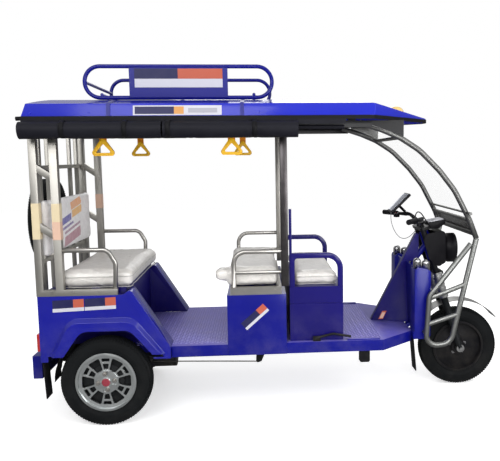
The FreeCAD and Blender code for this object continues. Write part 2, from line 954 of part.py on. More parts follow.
def rear_backrest():
    # it leans on the uprights of the back frame, between the posts
    x0 = post_back_x + back_bar + fit_gap
    half = post_inner - fit_gap
    body = box(x0, x0 + backrest_thickness, -half, half, backrest_bottom, backrest_top)
    return body.makeFillet(backrest_round, body.Edges)


def seat_rails():
    # bent stainless hoops beside the rear and middle benches
    rear_y = rear_hoop_half
    rear_back = post_second_x + post_front_side
    rear = bent_tube([
        V(rear_back, -rear_y, rear_hoop_top), V(base_bar_end_x * 0.4, -rear_y, rear_hoop_top),
        V(base_bar_end_x * 0.9, -rear_y, rear_hoop_top - wing_bend * 1.6),
        V(base_bar_end_x - rail_tube_radius, -rear_y, base_bar_top - rail_tube_radius),
    ], wing_bend, rail_tube_radius)
    rear = rear.cut(box(rear_panel_back, seat_front_x, -rear_half_width, 0, rear_deck_top, base_bar_top))
    mid_y = mid_hoop_half
    low_x = mid_box_back_x + overrun * 2
    mid = bent_tube([
        V(low_x, -mid_y, mid_ring_top), V(low_x, -mid_y, mid_hoop_top), V(mid_post_x, -mid_y, mid_hoop_top),
    ], wing_bend * 1.5, rail_tube_radius)
    mid_bar = rod(V(low_x, -mid_y, mid_hoop_mid_z), V(mid_post_x, -mid_y, mid_hoop_mid_z), rail_tube_radius * 0.8)
    mid = join([mid, mid_bar])
    ring = mid_seat_ring()
    return Part.makeCompound([rear, mirrored(rear), join([ring, mid, mirrored(mid)])])


def mid_seat_ring():
    side = rail_tube_radius * 2
    outer = box(low_ring_x(), mid_post_x, -body_half_width, body_half_width, mid_box_top, mid_ring_top)
    inner = box(low_ring_x() + side, mid_post_x - side, side - body_half_width, body_half_width - side,
                mid_box_top - overrun, mid_ring_top + overrun)
    return outer.cut(inner)


def low_ring_x():
    return mid_box_back_x + overrun


def driver_seat_rails():
    # flat blue hoops at the driver's sides
    corners = [
        (driver_box_back_x, driver_box_top), (driver_box_back_x, driver_hoop_top),
        (driver_box_front_x, driver_hoop_top), (driver_box_front_x, driver_box_top),
    ]
    bends = [0, wing_bend / 2, wing_bend * 2, 0]
    inset = [
        (driver_box_back_x + driver_hoop_band, driver_box_top - overrun),
        (driver_box_back_x + driver_hoop_band, driver_hoop_top - driver_hoop_band),
        (driver_box_front_x - driver_hoop_band, driver_hoop_top - driver_hoop_band),
        (driver_box_front_x - driver_hoop_band, driver_box_top - overrun),
    ]
    inner_bends = [0, wing_bend / 3, wing_bend * 1.4, 0]
    y1 = -driver_box_half + driver_hoop_thickness
    hoop = side_plate(corners, bends, -driver_box_half, y1)
    hoop = hoop.cut(side_plate(inset, inner_bends, -driver_box_half - overrun, y1 + overrun))
    upright = box(driver_box_back_x, driver_box_back_x + driver_hoop_band / 2, -driver_box_half, y1,
                  driver_box_top, driver_upright_z)
    return both_sides(join([hoop, upright]))


# posts and roof

def post(x, side_x, base, top):
    return box(x, x + side_x, -post_outer, -post_inner, base, top)


def brace(z):
    x0 = post_back_x + post_side
    x1 = post_second_x
    corners = [(x0, z + brace_height / 2), (x1, z + brace_height / 2 - brace_drop),
               (x1, z - brace_height / 2 - brace_drop), (x0, z - brace_height / 2)]
    return side_plate(corners, 0, -post_outer + sheet, -post_inner - sheet)


def rear_posts():
    # two uprights each side on a base bar, tied by sloping braces
    bar = box(rear_panel_back, base_bar_end_x, -rear_half_width, rail_tube_radius * 2 - rear_half_width,
              rear_deck_top, base_bar_top)
    shapes = [
        bar, post(post_back_x, post_side, rear_deck_top, roof_rail_z),
        post(post_second_x, post_front_side, rear_deck_top, roof_rail_z),
        brace(upper_brace_z), brace(lower_brace_z),
    ]
    return both_sides(join(shapes))


def mid_posts():
    y1 = mid_post_side - body_half_width
    base = mid_ring_top
    return both_sides(box(mid_post_x, mid_post_x + mid_post_side, -body_half_width, y1, base, roof_rail_z))


def rear_back_frame():
    # bars and uprights across the back, with the arm that carries the spare wheel
    x0 = post_back_x
    x1 = x0 + back_bar
    shapes = []
    for z in (upper_bar_z, lower_bar_z):
        shapes.append(box(x0, x1, -post_inner, post_inner, z - back_bar / 2, z + back_bar / 2))
    for y in (-upright_far_y, -upright_near_y, upright_near_y, upright_far_y):
        shapes.append(box(x0, x1, y - back_bar / 2, y + back_bar / 2, rear_deck_top, roof_rail_z))
    plate_half = upright_near_y
    shapes.append(box(x0, x1, -plate_half, plate_half, spare_z - back_bar, spare_z + back_bar))
    shapes.append(rod(V(x0, 0, spare_z), V(spare_x, 0, spare_z), half_shaft_radius))
    return join(shapes)


def roof_fall_z(x):
    # height of the plane on which the nose falls from the shoulder to the tip
    slope = (roof_shoulder_z - roof_tip_z) / (roof_front_x - roof_shoulder_x)
    return roof_tip_z + (roof_front_x - x) * slope


def roof_section(x0, x1, drop, shrink):
    # the cross section of the roof: sloping sides and a crowned top, lower under the falling nose
    half = roof_half_width - shrink
    top_half = half - roof_side_slope
    shoulder = roof_shoulder_z - drop
    crown = min(roof_crown_z, roof_fall_z(x1) if x0 > mid_post_x else roof_crown_z) - drop
    low = roof_edge_z - (overrun if drop > 0 else 0)
    edges = [
        Part.LineSegment(V(x0, top_half, shoulder), V(x0, half, low)).toShape(),
        Part.LineSegment(V(x0, half, low), V(x0, -half, low)).toShape(),
        Part.LineSegment(V(x0, -half, low), V(x0, -top_half, shoulder)).toShape(),
        Part.Arc(V(x0, -top_half, shoulder), V(x0, 0, crown), V(x0, top_half, shoulder)).toShape(),
    ]
    return Part.Face(Part.Wire(edges)).extrude(V(x1 - x0, 0, 0))


def roof_side(shrink, drop):
    # the roof seen from the side: sloping tail and a nose that falls to its tip
    low = roof_edge_z - (overrun if drop else 0)
    corners = [
        (roof_back_x + shrink, low), (roof_back_x + roof_back_slope + shrink, roof_shoulder_z - drop),
        (roof_back_x + roof_back_slope * 4 + shrink, roof_crown_z + overrun - drop),
        (mid_post_x, roof_fall_z(mid_post_x) - drop),
        (roof_front_x - shrink, roof_tip_z - drop), (roof_front_x - shrink, low),
    ]
    return side_plate(corners, 0, -roof_half_width - overrun, roof_half_width + overrun)


def roof_plan(shrink):
    # straight sides that turn in at the shoulder and run to the rounded tip
    side = roof_half_width
    corners = [
        (roof_back_x - overrun, -side - overrun), (roof_shoulder_x, -side - overrun), (roof_shoulder_x, -side),
        (roof_front_x, -roof_tip_half), (roof_front_x, roof_tip_half), (roof_shoulder_x, side),
        (roof_shoulder_x, side + overrun), (roof_back_x - overrun, side + overrun),
    ]
    bends = [0, 0, 0, roof_tip_round, roof_tip_round, 0, 0, 0]
    face = Part.Face(outline([V(x, y, roof_edge_z - 2 * overrun) for x, y in corners], bends))
    if shrink:
        face = face.makeOffset2D(-shrink)
    return face.extrude(V(0, 0, roof_crown_z - roof_edge_z + overrun * 4))


def roof_canopy():
    outer = roof_section(roof_back_x, roof_front_x, 0, 0).common([roof_side(0, 0)]).common([roof_plan(0)])
    inner = roof_section(roof_back_x, roof_front_x, roof_wall, roof_wall)
    inner = inner.common([roof_side(roof_wall, roof_wall)]).common([roof_plan(roof_wall)])
    return outer.cut(inner)


def roof_bow(x):
    # a bow under the skin and its two legs down to the side rails
    lift = roof_wall + fit_gap
    end = x + roof_rail_side
    rib = roof_section(x, end, lift, lift + roof_rail_side)
    lower = roof_section(x - fit_gap, end + fit_gap, lift + bow_height, -overrun)
    upright = box(x, end, -rear_half_width, rear_half_width, roof_rail_z, roof_crown_z)
    between = rear_half_width - roof_rail_side
    middle = box(x - overrun, end + overrun, -between, between, roof_rail_z, roof_crown_z)
    return [rib.cut(lower).common(upright), rib.common(upright).cut(middle)]


def roof_frame():
    # two side rails on the posts and bows that follow the underside of the roof
    rail_front = roof_shoulder_x
    shapes = []
    for side in (-1, 1):
        y0, y1 = sorted((side * rear_half_width, side * (rear_half_width - roof_rail_side)))
        shapes.append(box(post_back_x, rail_front, y0, y1, roof_rail_z, roof_rail_z + roof_rail_side))
    first = roof_back_x + roof_back_slope * 5
    step = (roof_shoulder_x - roof_rail_side * bow_setback - first) / (bow_count - 1)
    for index in range(bow_count):
        shapes.extend(roof_bow(first + index * step))
    for side in (-1, 1):
        y = side * handle_half_y
        last = first + (bow_count - 1) * step
        shapes.append(rod(V(first, y, handle_bar_z), V(last + roof_rail_side, y, handle_bar_z), handle_bar / 2))
        for index in range(bow_count):
            x = first + index * step + roof_rail_side / 2
            shapes.append(rod(V(x, y, handle_bar_z), V(x, y, roof_shoulder_z), handle_bar / 2))
    return join(shapes)


def racetrack(y, radius_tube):
    # one long loop of tube lying on edge
    height = rack_top_z - rack_bottom_z
    bend = height / 2 * 0.98
    points = [V(rack_back_x, y, rack_bottom_z), V(rack_front_x, y, rack_bottom_z),
              V(rack_front_x, y, rack_top_z), V(rack_back_x, y, rack_top_z)]
    path = outline(points, bend)
    start = path.Edges[0].Vertexes[0].Point
    first = path.Edges[0].tangentAt(path.Edges[0].FirstParameter)
    ring = Part.Wire([Part.makeCircle(radius_tube, start, first)])
    return path.makePipeShell([ring], True, False)


def luggage_rack():
    loop = racetrack(-rack_half_width, rack_tube_radius)
    other = mirrored(loop)
    middle = (rack_bottom_z + rack_top_z) / 2
    tie_radius = rack_tube_radius * 0.8
    low = roof_crown_z + tie_radius + fit_gap
    shapes = [loop, other]
    for x, z in ((rack_back_x, middle), (rack_front_x, middle), (rack_tie_x, low), (rack_middle_x, low),
                 (rack_front_tie_x, low)):
        shapes.append(rod(V(x, -rack_half_width, z), V(x, rack_half_width, z), tie_radius))
    for x in rack_strap_places:
        strap = roof_section(x, x + rack_strap_width, -rack_strap_thickness, -rack_strap_thickness)
        strap = strap.cut(roof_section(x - overrun, x + overrun * 2, -fit_gap, -fit_gap))
        for side in (-1, 1):
            y0, y1 = sorted((side * (rack_half_width - rack_tube_radius), side * (roof_half_width + overrun)))
            shapes.append(strap.common(box(x, x + rack_strap_width, y0, y1, rack_strap_end_z, roof_crown_z)))
    return join(shapes)


def sign_board():
    y0 = -rack_half_width - rack_tube_radius - fit_gap - board_thickness
    return box(board_back_x, board_front_x, y0, y0 + board_thickness, board_bottom_z, board_top_z)


def roof_lamp():
    # low domed lamp on the falling nose of the roof
    slope = math.atan2(roof_shoulder_z - roof_tip_z, roof_front_x - roof_shoulder_x)
    height = roof_fall_z(beacon_x) + fit_gap
    base_height = beacon_height * 0.3
    radius = beacon_radius * 0.92
    rise = beacon_height - base_height
    ball = (radius * radius + rise * rise) / (2 * rise)
    cap = Part.makeSphere(ball, V(0, 0, beacon_height - ball))
    cap = cap.common([Part.makeCylinder(beacon_radius, beacon_height, V(0, 0, base_height))])
    dome = join([Part.makeCylinder(beacon_radius, base_height), cap])
    dome.rotate(V(0, 0, 0), V(0, 1, 0), math.degrees(slope))
    return dome.translated(V(beacon_x, 0, height))


def curtain_rolls():
    # furled side curtains with tie straps, and the narrow valance ahead of them
    y = -roll_half_y
    roll = rod(V(roll_back_x, y, roll_z), V(roll_front_x, y, roll_z), roll_radius)
    length = roll_front_x - roll_back_x
    shapes = [roll]
    for share in strap_shares:
        x = roll_back_x + share * length
        shapes.append(rod(V(x, y, roll_z), V(x + strap_width, y, roll_z), roll_radius + strap_grow))
        shapes.append(box(x, x + strap_width, y + roll_radius * 0.7, -rear_half_width - fit_gap,
                          roof_rail_z + sheet, roof_rail_z + 2 * sheet))
    valance_y = -rear_half_width - valance_radius - fit_gap
    valance_z = roof_rail_z + sheet
    valance = rod(V(roll_front_x + strap_grow, valance_y, valance_z), V(valance_front_x, valance_y, valance_z),
                  valance_radius)
    return both_sides(Part.makeCompound([join(shapes), valance]))


def grab_handles():
    # triangular pull handles on straps round the roof bars
    handles = []
    for x, side in handle_places:
        y = side * handle_half_y
        half = handle_width / 2
        low = handle_top_z - handle_height
        corners = [(x, handle_top_z), (x + half, low), (x - half, low)]
        inset = [(x, handle_top_z - handle_grip * 2.4), (x + half - handle_grip * 1.8, low + handle_grip),
                 (x - half + handle_grip * 1.8, low + handle_grip)]
        y0, y1 = y - handle_grip / 2, y + handle_grip / 2
        loop = side_plate(corners, handle_grip, y0, y1)
        loop = loop.cut(side_plate(inset, handle_grip / 3, y0 - overrun, y1 + overrun))
        strap = box(x - handle_strap / 2, x + handle_strap / 2, y - handle_bar / 4, y + handle_bar / 4,
                    handle_top_z - handle_grip * 2, handle_bar_z - handle_bar / 2 - fit_gap)
        strap = strap.cut(side_plate(inset, handle_grip / 3, y0, y1))
        handles.append(join([loop, strap]))
    return Part.makeCompound(handles)


def spare_wheel():
    tyre_solid = tyre(V(0, 0, 0))
    tyre_solid.rotate(V(0, 0, 0), V(0, 0, 1), 90)
    core = rod(V(-tyre_width * 0.3, 0, 0), V(tyre_width * 0.3, 0, 0), rim_radius)
    bore = rod(V(-tyre_width, 0, 0), V(tyre_width, 0, 0), half_shaft_radius)
    wheel = join([tyre_solid, core]).cut(bore)
    wheel.translate(V(spare_x, 0, spare_z))
    return wheel


# front end

def along_steering(z):
    return V(head_x - (z - head_z) * math.tan(rake), 0, z)


def head_axis():
    return V(-math.sin(rake), 0, math.cos(rake))


def headstock():
    # bored head tube with two down tubes to the chassis
    top = along_steering(head_z - crown_thickness)
    low = top - head_axis() * head_tube_length
    tube = rod(low, top, head_tube_radius)
    shapes = [tube]
    middle = (top + low) * 0.5
    for side in (-1, 1):
        y = side * down_tube_y
        foot = V(chassis_front_x, y, rail_bottom + down_tube_radius)
        knee = V(down_knee_x, y, rail_bottom + down_tube_radius)
        neck = V(down_neck_x, side * down_neck_y, down_neck_z)
        end = V(middle.x - head_tube_radius * 0.6, side * down_neck_y, middle.z)
        shapes.append(bent_tube([foot, knee, neck, end], down_bend, down_tube_radius))
    bore = rod(low - head_axis() * overrun, top + head_axis() * overrun, stem_radius + running_gap)
    return join(shapes).cut(bore)


def front_cowl():
    # leg shield: two upright pods joined by a sheet behind the wheel
    notch_half = down_tube_y + down_tube_radius + bead_height
    notch = box(shield_x - overrun, shield_x + overrun, -notch_half, notch_half,
                floor_bottom, floor_top + 2 * down_tube_radius)
    shapes = [box(shield_x, shield_x + sheet, -pod_inner_half, pod_inner_half, floor_top, shield_top).cut(notch)]
    for side in (-1, 1):
        y0, y1 = sorted((side * pod_inner_half, side * pod_outer_half))
        pod = pod_block(y0, y1)
        inner = side_plate([
            (pod_back_x + sheet, floor_top - sheet), (pod_back_x + sheet, pod_top - sheet),
            (pod_front_x - sheet, pod_top - pod_round - sheet), (pod_front_x - sheet, pod_bottom - overrun),
            (floor_nose_x + fit_gap + sheet, pod_bottom - overrun), (floor_nose_x + fit_gap + sheet, floor_top - sheet),
        ], 0, y0 + sheet, y1 - sheet)
        shapes.append(pod.cut(inner))
    return join(shapes)


def pod_block(y0, y1):
    corners = [(pod_back_x, floor_top), (pod_back_x, pod_top), (pod_front_x, pod_top - pod_round),
               (pod_front_x, pod_bottom), (floor_nose_x + fit_gap, pod_bottom), (floor_nose_x + fit_gap, floor_top)]
    return side_plate(corners, [0, pod_round, pod_round, pod_round, 0, 0], y0, y1)


def console_wedge(inset, spread):
    # wedge between the floor and the head tube, wide only at the foot of the shield
    back = console_back_half - inset
    lean = (console_top_back_x - console_foot_x) / (console_top_z - floor_top)
    rings = []
    for z, front_x, front_half in ((floor_top - spread, shield_x, console_front_half),
                                   (shield_top, console_top_front_x, console_neck_half),
                                   (console_top_z - inset, console_top_front_x, console_neck_half)):
        x0 = console_foot_x + (z - floor_top) * lean + inset * 2
        x1 = front_x + spread
        wide = front_half - inset
        corners = [V(x0, -back, z), V(x1, -wide, z), V(x1, wide, z), V(x0, back, z)]
        rings.append(Part.makePolygon(corners + corners[:1]))
    return Part.makeLoft(rings, True, True)


def console():
    # hollow wedge over the down tubes, open towards the head tube
    wedge = console_wedge(0, 0).cut(console_wedge(sheet, overrun))
    front = box(shield_x - fit_gap, head_x, -body_half_width, body_half_width, floor_bottom, shield_top)
    return wedge.cut(front)


def front_guards():
    # tube guards beside the front wheel, each with an upright, a diagonal and two cross bars
    y = -guard_half
    top = V(guard_top_x, y, guard_top_z)
    upright_top = V(guard_upright_x, y, guard_upright_z)
    upright_foot = V(guard_back_x, y, guard_low_z - guard_tube_radius)
    frame = bent_tube([
        top, V(guard_low_x, y, guard_low_z), upright_foot,
        upright_top, top - V(guard_tube_radius * 2, 0, guard_tube_radius * 2),
    ], guard_bend, guard_tube_radius)
    bars = []
    for low_share, high_share in guard_bar_shares:
        start = upright_top + (upright_foot - upright_top) * low_share
        end = V(guard_top_x - (guard_top_x - guard_low_x) * high_share, y,
                guard_top_z - (guard_top_z - guard_low_z) * high_share)
        bars.append(rod(start, end, guard_tube_radius * 0.85))
    foot_z = pod_bottom + pod_round * 2
    foot = rod(V(guard_back_x, y, foot_z), V(guard_back_x, -pod_outer_half, foot_z), guard_tube_radius * 0.8)
    guard = join([frame] + bars + [foot]).cut(windscreen_frame())
    return both_sides(guard)


def screen_points(y):
    spots = [V(wheelbase - setback, y, z) for setback, z in screen_line]
    return spots + [V(guard_top_x, y, guard_top_z)]


def windscreen_frame():
    # two bowed tubes from the roof down to the guards, tied by cross bars
    y = -screen_half
    tube = bent_tube(screen_points(y), screen_tube_bend, screen_tube_radius)
    bars = []
    above, low, end = screen_points(y)[5:]
    for point in (screen_points(y)[2], low, end + (low - end) * 0.3):
        bars.append(rod(point, V(point.x, -point.y, point.z), screen_bar_radius))
    plate = screen_gusset()
    return join([tube, mirrored(tube), plate, mirrored(plate), signal_bar(above, low)] + bars)


def screen_gusset():
    # a plate at the side of the tube that closes the corner under the roof
    y0 = -screen_half - screen_tube_radius - gusset_thickness
    top = roof_edge_z - fit_gap
    corners = [(gusset_back_x, top), (gusset_front_x, top), (gusset_front_x, gusset_front_z),
               (gusset_back_x, gusset_back_z)]
    return side_plate(corners, 0, y0, y0 + gusset_thickness * 2)


def signal_bar(above, low):
    # a cross bar behind the screen that stands out past the right tube to a knob
    share = (signal_bar_z - low.z) / (above.z - low.z)
    x = low.x + (above.x - low.x) * share
    end = V(x, -signal_bar_end, signal_bar_z)
    bar = rod(V(x, screen_half, signal_bar_z), end, signal_bar_radius)
    return join([bar, rod(end, end + V(0, signal_cap_length, 0), signal_cap_radius)])


def screen_sheet(first, last, thickness):
    # a bent sheet laid on the cross bars between the two tubes
    y = screen_tube_radius + fit_gap - screen_half
    spots = screen_points(y)
    lift = screen_bar_radius + fit_gap
    inside, outside = [], []
    for index in range(first, last):
        ahead = spots[min(index + 1, len(spots) - 1)]
        behind = spots[index - 1]
        run = (ahead - behind).normalize()
        normal = V(-run.z, 0, run.x)
        inside.append(spots[index] + normal * lift)
        outside.append(spots[index] + normal * (lift + thickness))
    face = Part.Face(Part.makePolygon(outside + inside[::-1] + outside[:1]))
    return face.extrude(V(0, -2 * y, 0))


def windscreen_glass():
    return screen_sheet(1, 7, screen_glass_thickness)


def windscreen_lower_panel():
    sheet_solid = screen_sheet(6, 8, screen_panel_thickness)
    return sheet_solid.cut(windscreen_glass())


# steering assembly

def fork_line(z):
    # the fork legs run parallel to the head, through the front axle
    return V(wheelbase - (z - tyre_radius) * math.tan(rake), 0, z)


def slanted(z, half, thickness, radius):
    # a rounded crown plate square to the steering axis
    plate = level_plate([(-radius, -half), (radius, -half), (radius, half), (-radius, half)],
                        crown_round / 2, 0, thickness)
    plate.rotate(V(0, 0, 0), V(0, 1, 0), -rake_angle)
    return plate.translated(crown_middle(z))


def front_fork():
    # stem, two crowns, telescopic legs with ribbed covers and the wheel's axle pin
    top = along_steering(crown_top_z + crown_thickness)
    stem = rod(along_steering(crown_low_z), top, stem_radius)
    reach = fork_half + crown_round
    shapes = [stem, slanted(crown_top_z, reach, crown_thickness, crown_round),
              slanted(crown_low_z, reach, crown_thickness, crown_round)]
    for side in (-1, 1):
        shift = V(0, side * fork_half, 0)
        shapes.append(rod(fork_line(tyre_radius) + shift, fork_line(cover_low_z) + shift, fork_slider_radius))
        shapes.append(rod(fork_line(cover_low_z) + shift, fork_line(crown_top_z) + shift, fork_tube_radius))
        pitch = (crown_low_z - cover_low_z) / cover_ribs
        for index in range(cover_ribs):
            z = cover_low_z + index * pitch
            shapes.append(rod(fork_line(z) + shift, fork_line(z + pitch * 0.62) + shift, fork_cover_radius))
            shapes.append(rod(fork_line(z + pitch * 0.5) + shift, fork_line(z + pitch) + shift,
                              fork_cover_radius * 0.86))
        foot = fork_line(tyre_radius) + shift
        shapes.append(rod(foot - V(0, fork_slider_radius * 0.8, 0), foot + V(0, fork_slider_radius * 0.8, 0),
                          fork_slider_radius * 1.15))
    axle_half = fork_half + fork_slider_radius + axle_pin_radius
    shapes.append(rod(V(wheelbase, -axle_half, tyre_radius), V(wheelbase, axle_half, tyre_radius), axle_pin_radius))
    return join(shapes)


def crown_middle(z):
    return (along_steering(z) + fork_line(z)) * 0.5


def bar_points():
    clamp = crown_middle(crown_top_z) + head_axis() * (crown_thickness + riser_height)
    rise = V(clamp.x - overrun, bar_bend_half, grip_z)
    end = V(grip_x, grip_half, grip_z)
    return [V(end.x, -end.y, end.z), V(rise.x, -rise.y, rise.z), V(clamp.x, -bar_bend_half / 3, clamp.z),
            V(clamp.x, bar_bend_half / 3, clamp.z), rise, end]


def handlebar():
    # swept handlebar in two risers on the top crown, with its levers
    bar = bent_tube(bar_points(), wing_bend, bar_radius)
    shapes = [bar]
    foot = crown_middle(crown_top_z) + head_axis() * crown_thickness
    end, rise = bar_points()[-1], bar_points()[-2]
    along = (rise - end).normalize()
    perch = end + along * (grip_length + lever_reach)
    pivot = perch + V(lever_reach, 0, -bar_radius)
    tip = end + V(lever_reach * 1.5, 0, -bar_radius)
    for side in (-1, 1):
        shift = V(0, side * bar_bend_half / 4, 0)
        shapes.append(rod(foot + shift, foot + head_axis() * riser_height + shift, bar_radius * 1.3))
        near, ahead, far = [V(spot.x, side * spot.y, spot.z) for spot in (perch, pivot, tip)]
        shapes.append(rod(near, ahead, bar_radius * 0.6))
        shapes.append(rod(ahead, far, bar_radius * 0.5))
    return join(shapes)


def handlebar_grips():
    grips = []
    for side in (-1, 1):
        end, rise = bar_points()[-1], bar_points()[-2]
        along = (rise - end).normalize()
        start = V(end.x, side * end.y, end.z) - V(along.x, side * along.y, along.z) * bar_radius
        finish = end + along * grip_length
        finish = V(finish.x, side * finish.y, finish.z)
        grip = rod(start, finish, grip_radius)
        core = rod(V(end.x, side * end.y, end.z), finish + (finish - start), bar_radius)
        grips.append(grip.cut(core))
    return Part.makeCompound(grips)


def headlamp():
    # round lamp housing, bulging back to the fork, its rim hollow for the lens
    centre_back = V(nacelle_back_x, 0, nacelle_z)
    length = nacelle_front_x - nacelle_back_x
    profile = [(0, 0), (nacelle_radius * 0.62, 0), (nacelle_radius * 0.9, length * 0.3),
               (nacelle_radius, length * 0.6), (nacelle_radius, length),
               (nacelle_radius - sheet * 1.5, length), (nacelle_radius - sheet * 1.5, length - lens_thickness * 1.5),
               (0, length - lens_thickness * 1.5)]
    points = [V(centre_back.x + x, 0, nacelle_z + r) for r, x in profile]
    shell = Part.Face(Part.makePolygon(points + points[:1])).revolve(centre_back, V(1, 0, 0), 360)
    ears = []
    for side in (-1, 1):
        y = side * nacelle_radius * 0.66
        start = fork_line(nacelle_z).x + fork_tube_radius * 1.2
        ears.append(rod(V(start, side * fork_half, nacelle_z), V(nacelle_back_x + overrun, y, nacelle_z),
                        crown_round / 4))
    return join([shell, lamp_shroud()] + ears)


def lamp_shroud():
    # a hood round the fork tubes: two cheeks, a front wall behind the lamp and a short top
    corners = [(wheelbase - setback, z) for setback, z in shroud_line]
    cheek = side_plate(corners, shroud_bends, -shroud_half, shroud_half)
    inside = side_plate(corners, shroud_bends, sheet - shroud_half, shroud_half - sheet)
    top = inside.common(box(shroud_hood_x, nacelle_front_x, -shroud_half, shroud_half, nacelle_z, head_z))
    hollow = Part.Face(outline([V(x, -shroud_half, z) for x, z in corners], shroud_bends))
    hollow = hollow.makeOffset2D(-sheet).extrude(V(0, shroud_half * 2, 0))
    top = top.cut(hollow)
    wall = inside.common(box(nacelle_back_x + sheet, nacelle_back_x + 2 * sheet, -shroud_half,
                             shroud_half, 0, head_z))
    return join([cheek.cut(inside), top, wall])


def headlamp_lens():
    length = lens_thickness
    x0 = nacelle_front_x - length * 1.5
    radius = nacelle_radius - sheet * 1.5 - fit_gap
    disc = rod(V(x0, 0, nacelle_z), V(x0 + length, 0, nacelle_z), radius)
    crown = Part.makeSphere(radius * 2, V(x0 + length * 2 - radius * 2, 0, nacelle_z))
    return disc.common([crown])


def dash_cluster():
    # instrument case ahead of the top crown, its top leaning up towards the front
    corners = [(dash_back_x, dash_bottom), (dash_back_x, dash_back_top), (dash_front_x, dash_front_top),
               (dash_front_x, dash_front_low), (dash_low_x, dash_bottom)]
    return side_plate(corners, [crown_round / 6] * len(corners), -dash_half, dash_half)


def display_unit():
    # a flat screen on the left half of the bar, clamped by a short arm
    half = display_half
    plate = box(-display_thickness / 2, display_thickness / 2, -half, half, 0, display_height)
    plate = plate.makeFillet(display_thickness / 3, plate.Edges)
    plate.rotate(V(0, 0, 0), V(0, 1, 0), display_lean)
    foot = V(display_foot_x, display_y, display_foot_z)
    plate.translate(foot)
    end, rise = bar_points()[-1], bar_points()[-2]
    share = (display_y - rise.y) / (end.y - rise.y)
    clamp = rise + (end - rise) * share + V(0, 0, bar_radius * 1.22)
    lean = math.radians(display_lean)
    reach = display_height * display_arm_share
    arm = rod(clamp, foot + V(reach * math.sin(lean), 0, reach * math.cos(lean)), bar_radius * 0.8)
    return join([plate, arm.cut(rod(rise, end, bar_radius + fit_gap))])


def front_fender():
    # curved blade over the tyre on two stays
    centre = V(wheelbase, -fender_half, tyre_radius)
    outer = Part.makeCylinder(fender_radius, 2 * fender_half, centre, V(0, 1, 0))
    inner = Part.makeCylinder(fender_radius - fender_wall, 2 * fender_half, centre, V(0, 1, 0))
    ring = outer.cut(inner)
    reach = fender_radius * 2
    start, end = math.radians(fender_start), math.radians(fender_end)
    wedge = Part.Face(Part.makePolygon([
        V(wheelbase, -fender_half - overrun, tyre_radius),
        V(wheelbase + reach * math.cos(start), -fender_half - overrun, tyre_radius + reach * math.sin(start)),
        V(wheelbase, -fender_half - overrun, tyre_radius + reach),
        V(wheelbase + reach * math.cos(end), -fender_half - overrun, tyre_radius + reach * math.sin(end)),
        V(wheelbase, -fender_half - overrun, tyre_radius),
    ])).extrude(V(0, 2 * (fender_half + overrun), 0))
    return ring.common([wedge])


# brake lever, pedal and rod

def brake_linkage():
    # pull rod under the sill, the parking lever beside the driver and the pedal
    lower = rod(V(rod_back_x, -rod_y, rod_z), V(rod_front_x, -rod_y, rod_z), rod_radius)
    hangers = []
    for x in (rod_back_x + overrun * 2, rod_front_x - overrun):
        hangers.append(box(x - rod_radius, x + rod_radius, -rod_y - rod_radius / 2, -rod_y + rod_radius / 2,
                           rod_z, floor_bottom))
    lever = bent_tube([
        V(lever_back_x, -lever_y, floor_top + bead_height * 2), V(lever_front_x - overrun * 5, -lever_y, floor_top + overrun * 2),
        V(lever_front_x, -lever_y, floor_top + overrun),
    ], wing_bend, lever_bar / 2)
    bracket = box(lever_back_x - lever_bar, lever_back_x + lever_bar * 2, -lever_y - lever_bar / 2,
                  -lever_y + lever_bar / 2, floor_top, floor_top + overrun * 1.4)
    return Part.makeCompound([join([lower] + hangers), join([lever, bracket])])


def tail_lamps():
    x0 = rear_panel_back - tail_lamp_depth
    z0 = tail_lamp_z - tail_lamp_height / 2
    y0 = tail_lamp_y - tail_lamp_width / 2
    lamp = box(x0, rear_panel_back, y0, y0 + tail_lamp_width, z0, z0 + tail_lamp_height)
    lamp = lamp.makeFillet(tail_lamp_depth / 3, [edge for edge in lamp.Edges if edge.BoundBox.XMin < x0 + fit_gap
                                                and edge.BoundBox.XMax < x0 + fit_gap])
    return both_sides(lamp)


def cowl_lamps():
    # two domed indicator lamps on each pod
    lamps = []
    radius = lamp_dome_radius * 0.8
    for index in (0, 1):
        x = pod_back_x + lamp_dome_radius * (1 + 1.7 * index) - overrun / 4
        y = -(pod_inner_half + pod_outer_half) / 2
        top = pod_top + lamp_dome_radius * 0.7 - pod_round * 0.5 * index
        base = rod(V(x, y, pod_top - pod_round * 2), V(x, y, top), radius)
        lamps.append(join([base, Part.makeSphere(radius, V(x, y, top))]))
    return both_sides(join(lamps).cut(pod_block(-pod_outer_half, -pod_inner_half)))


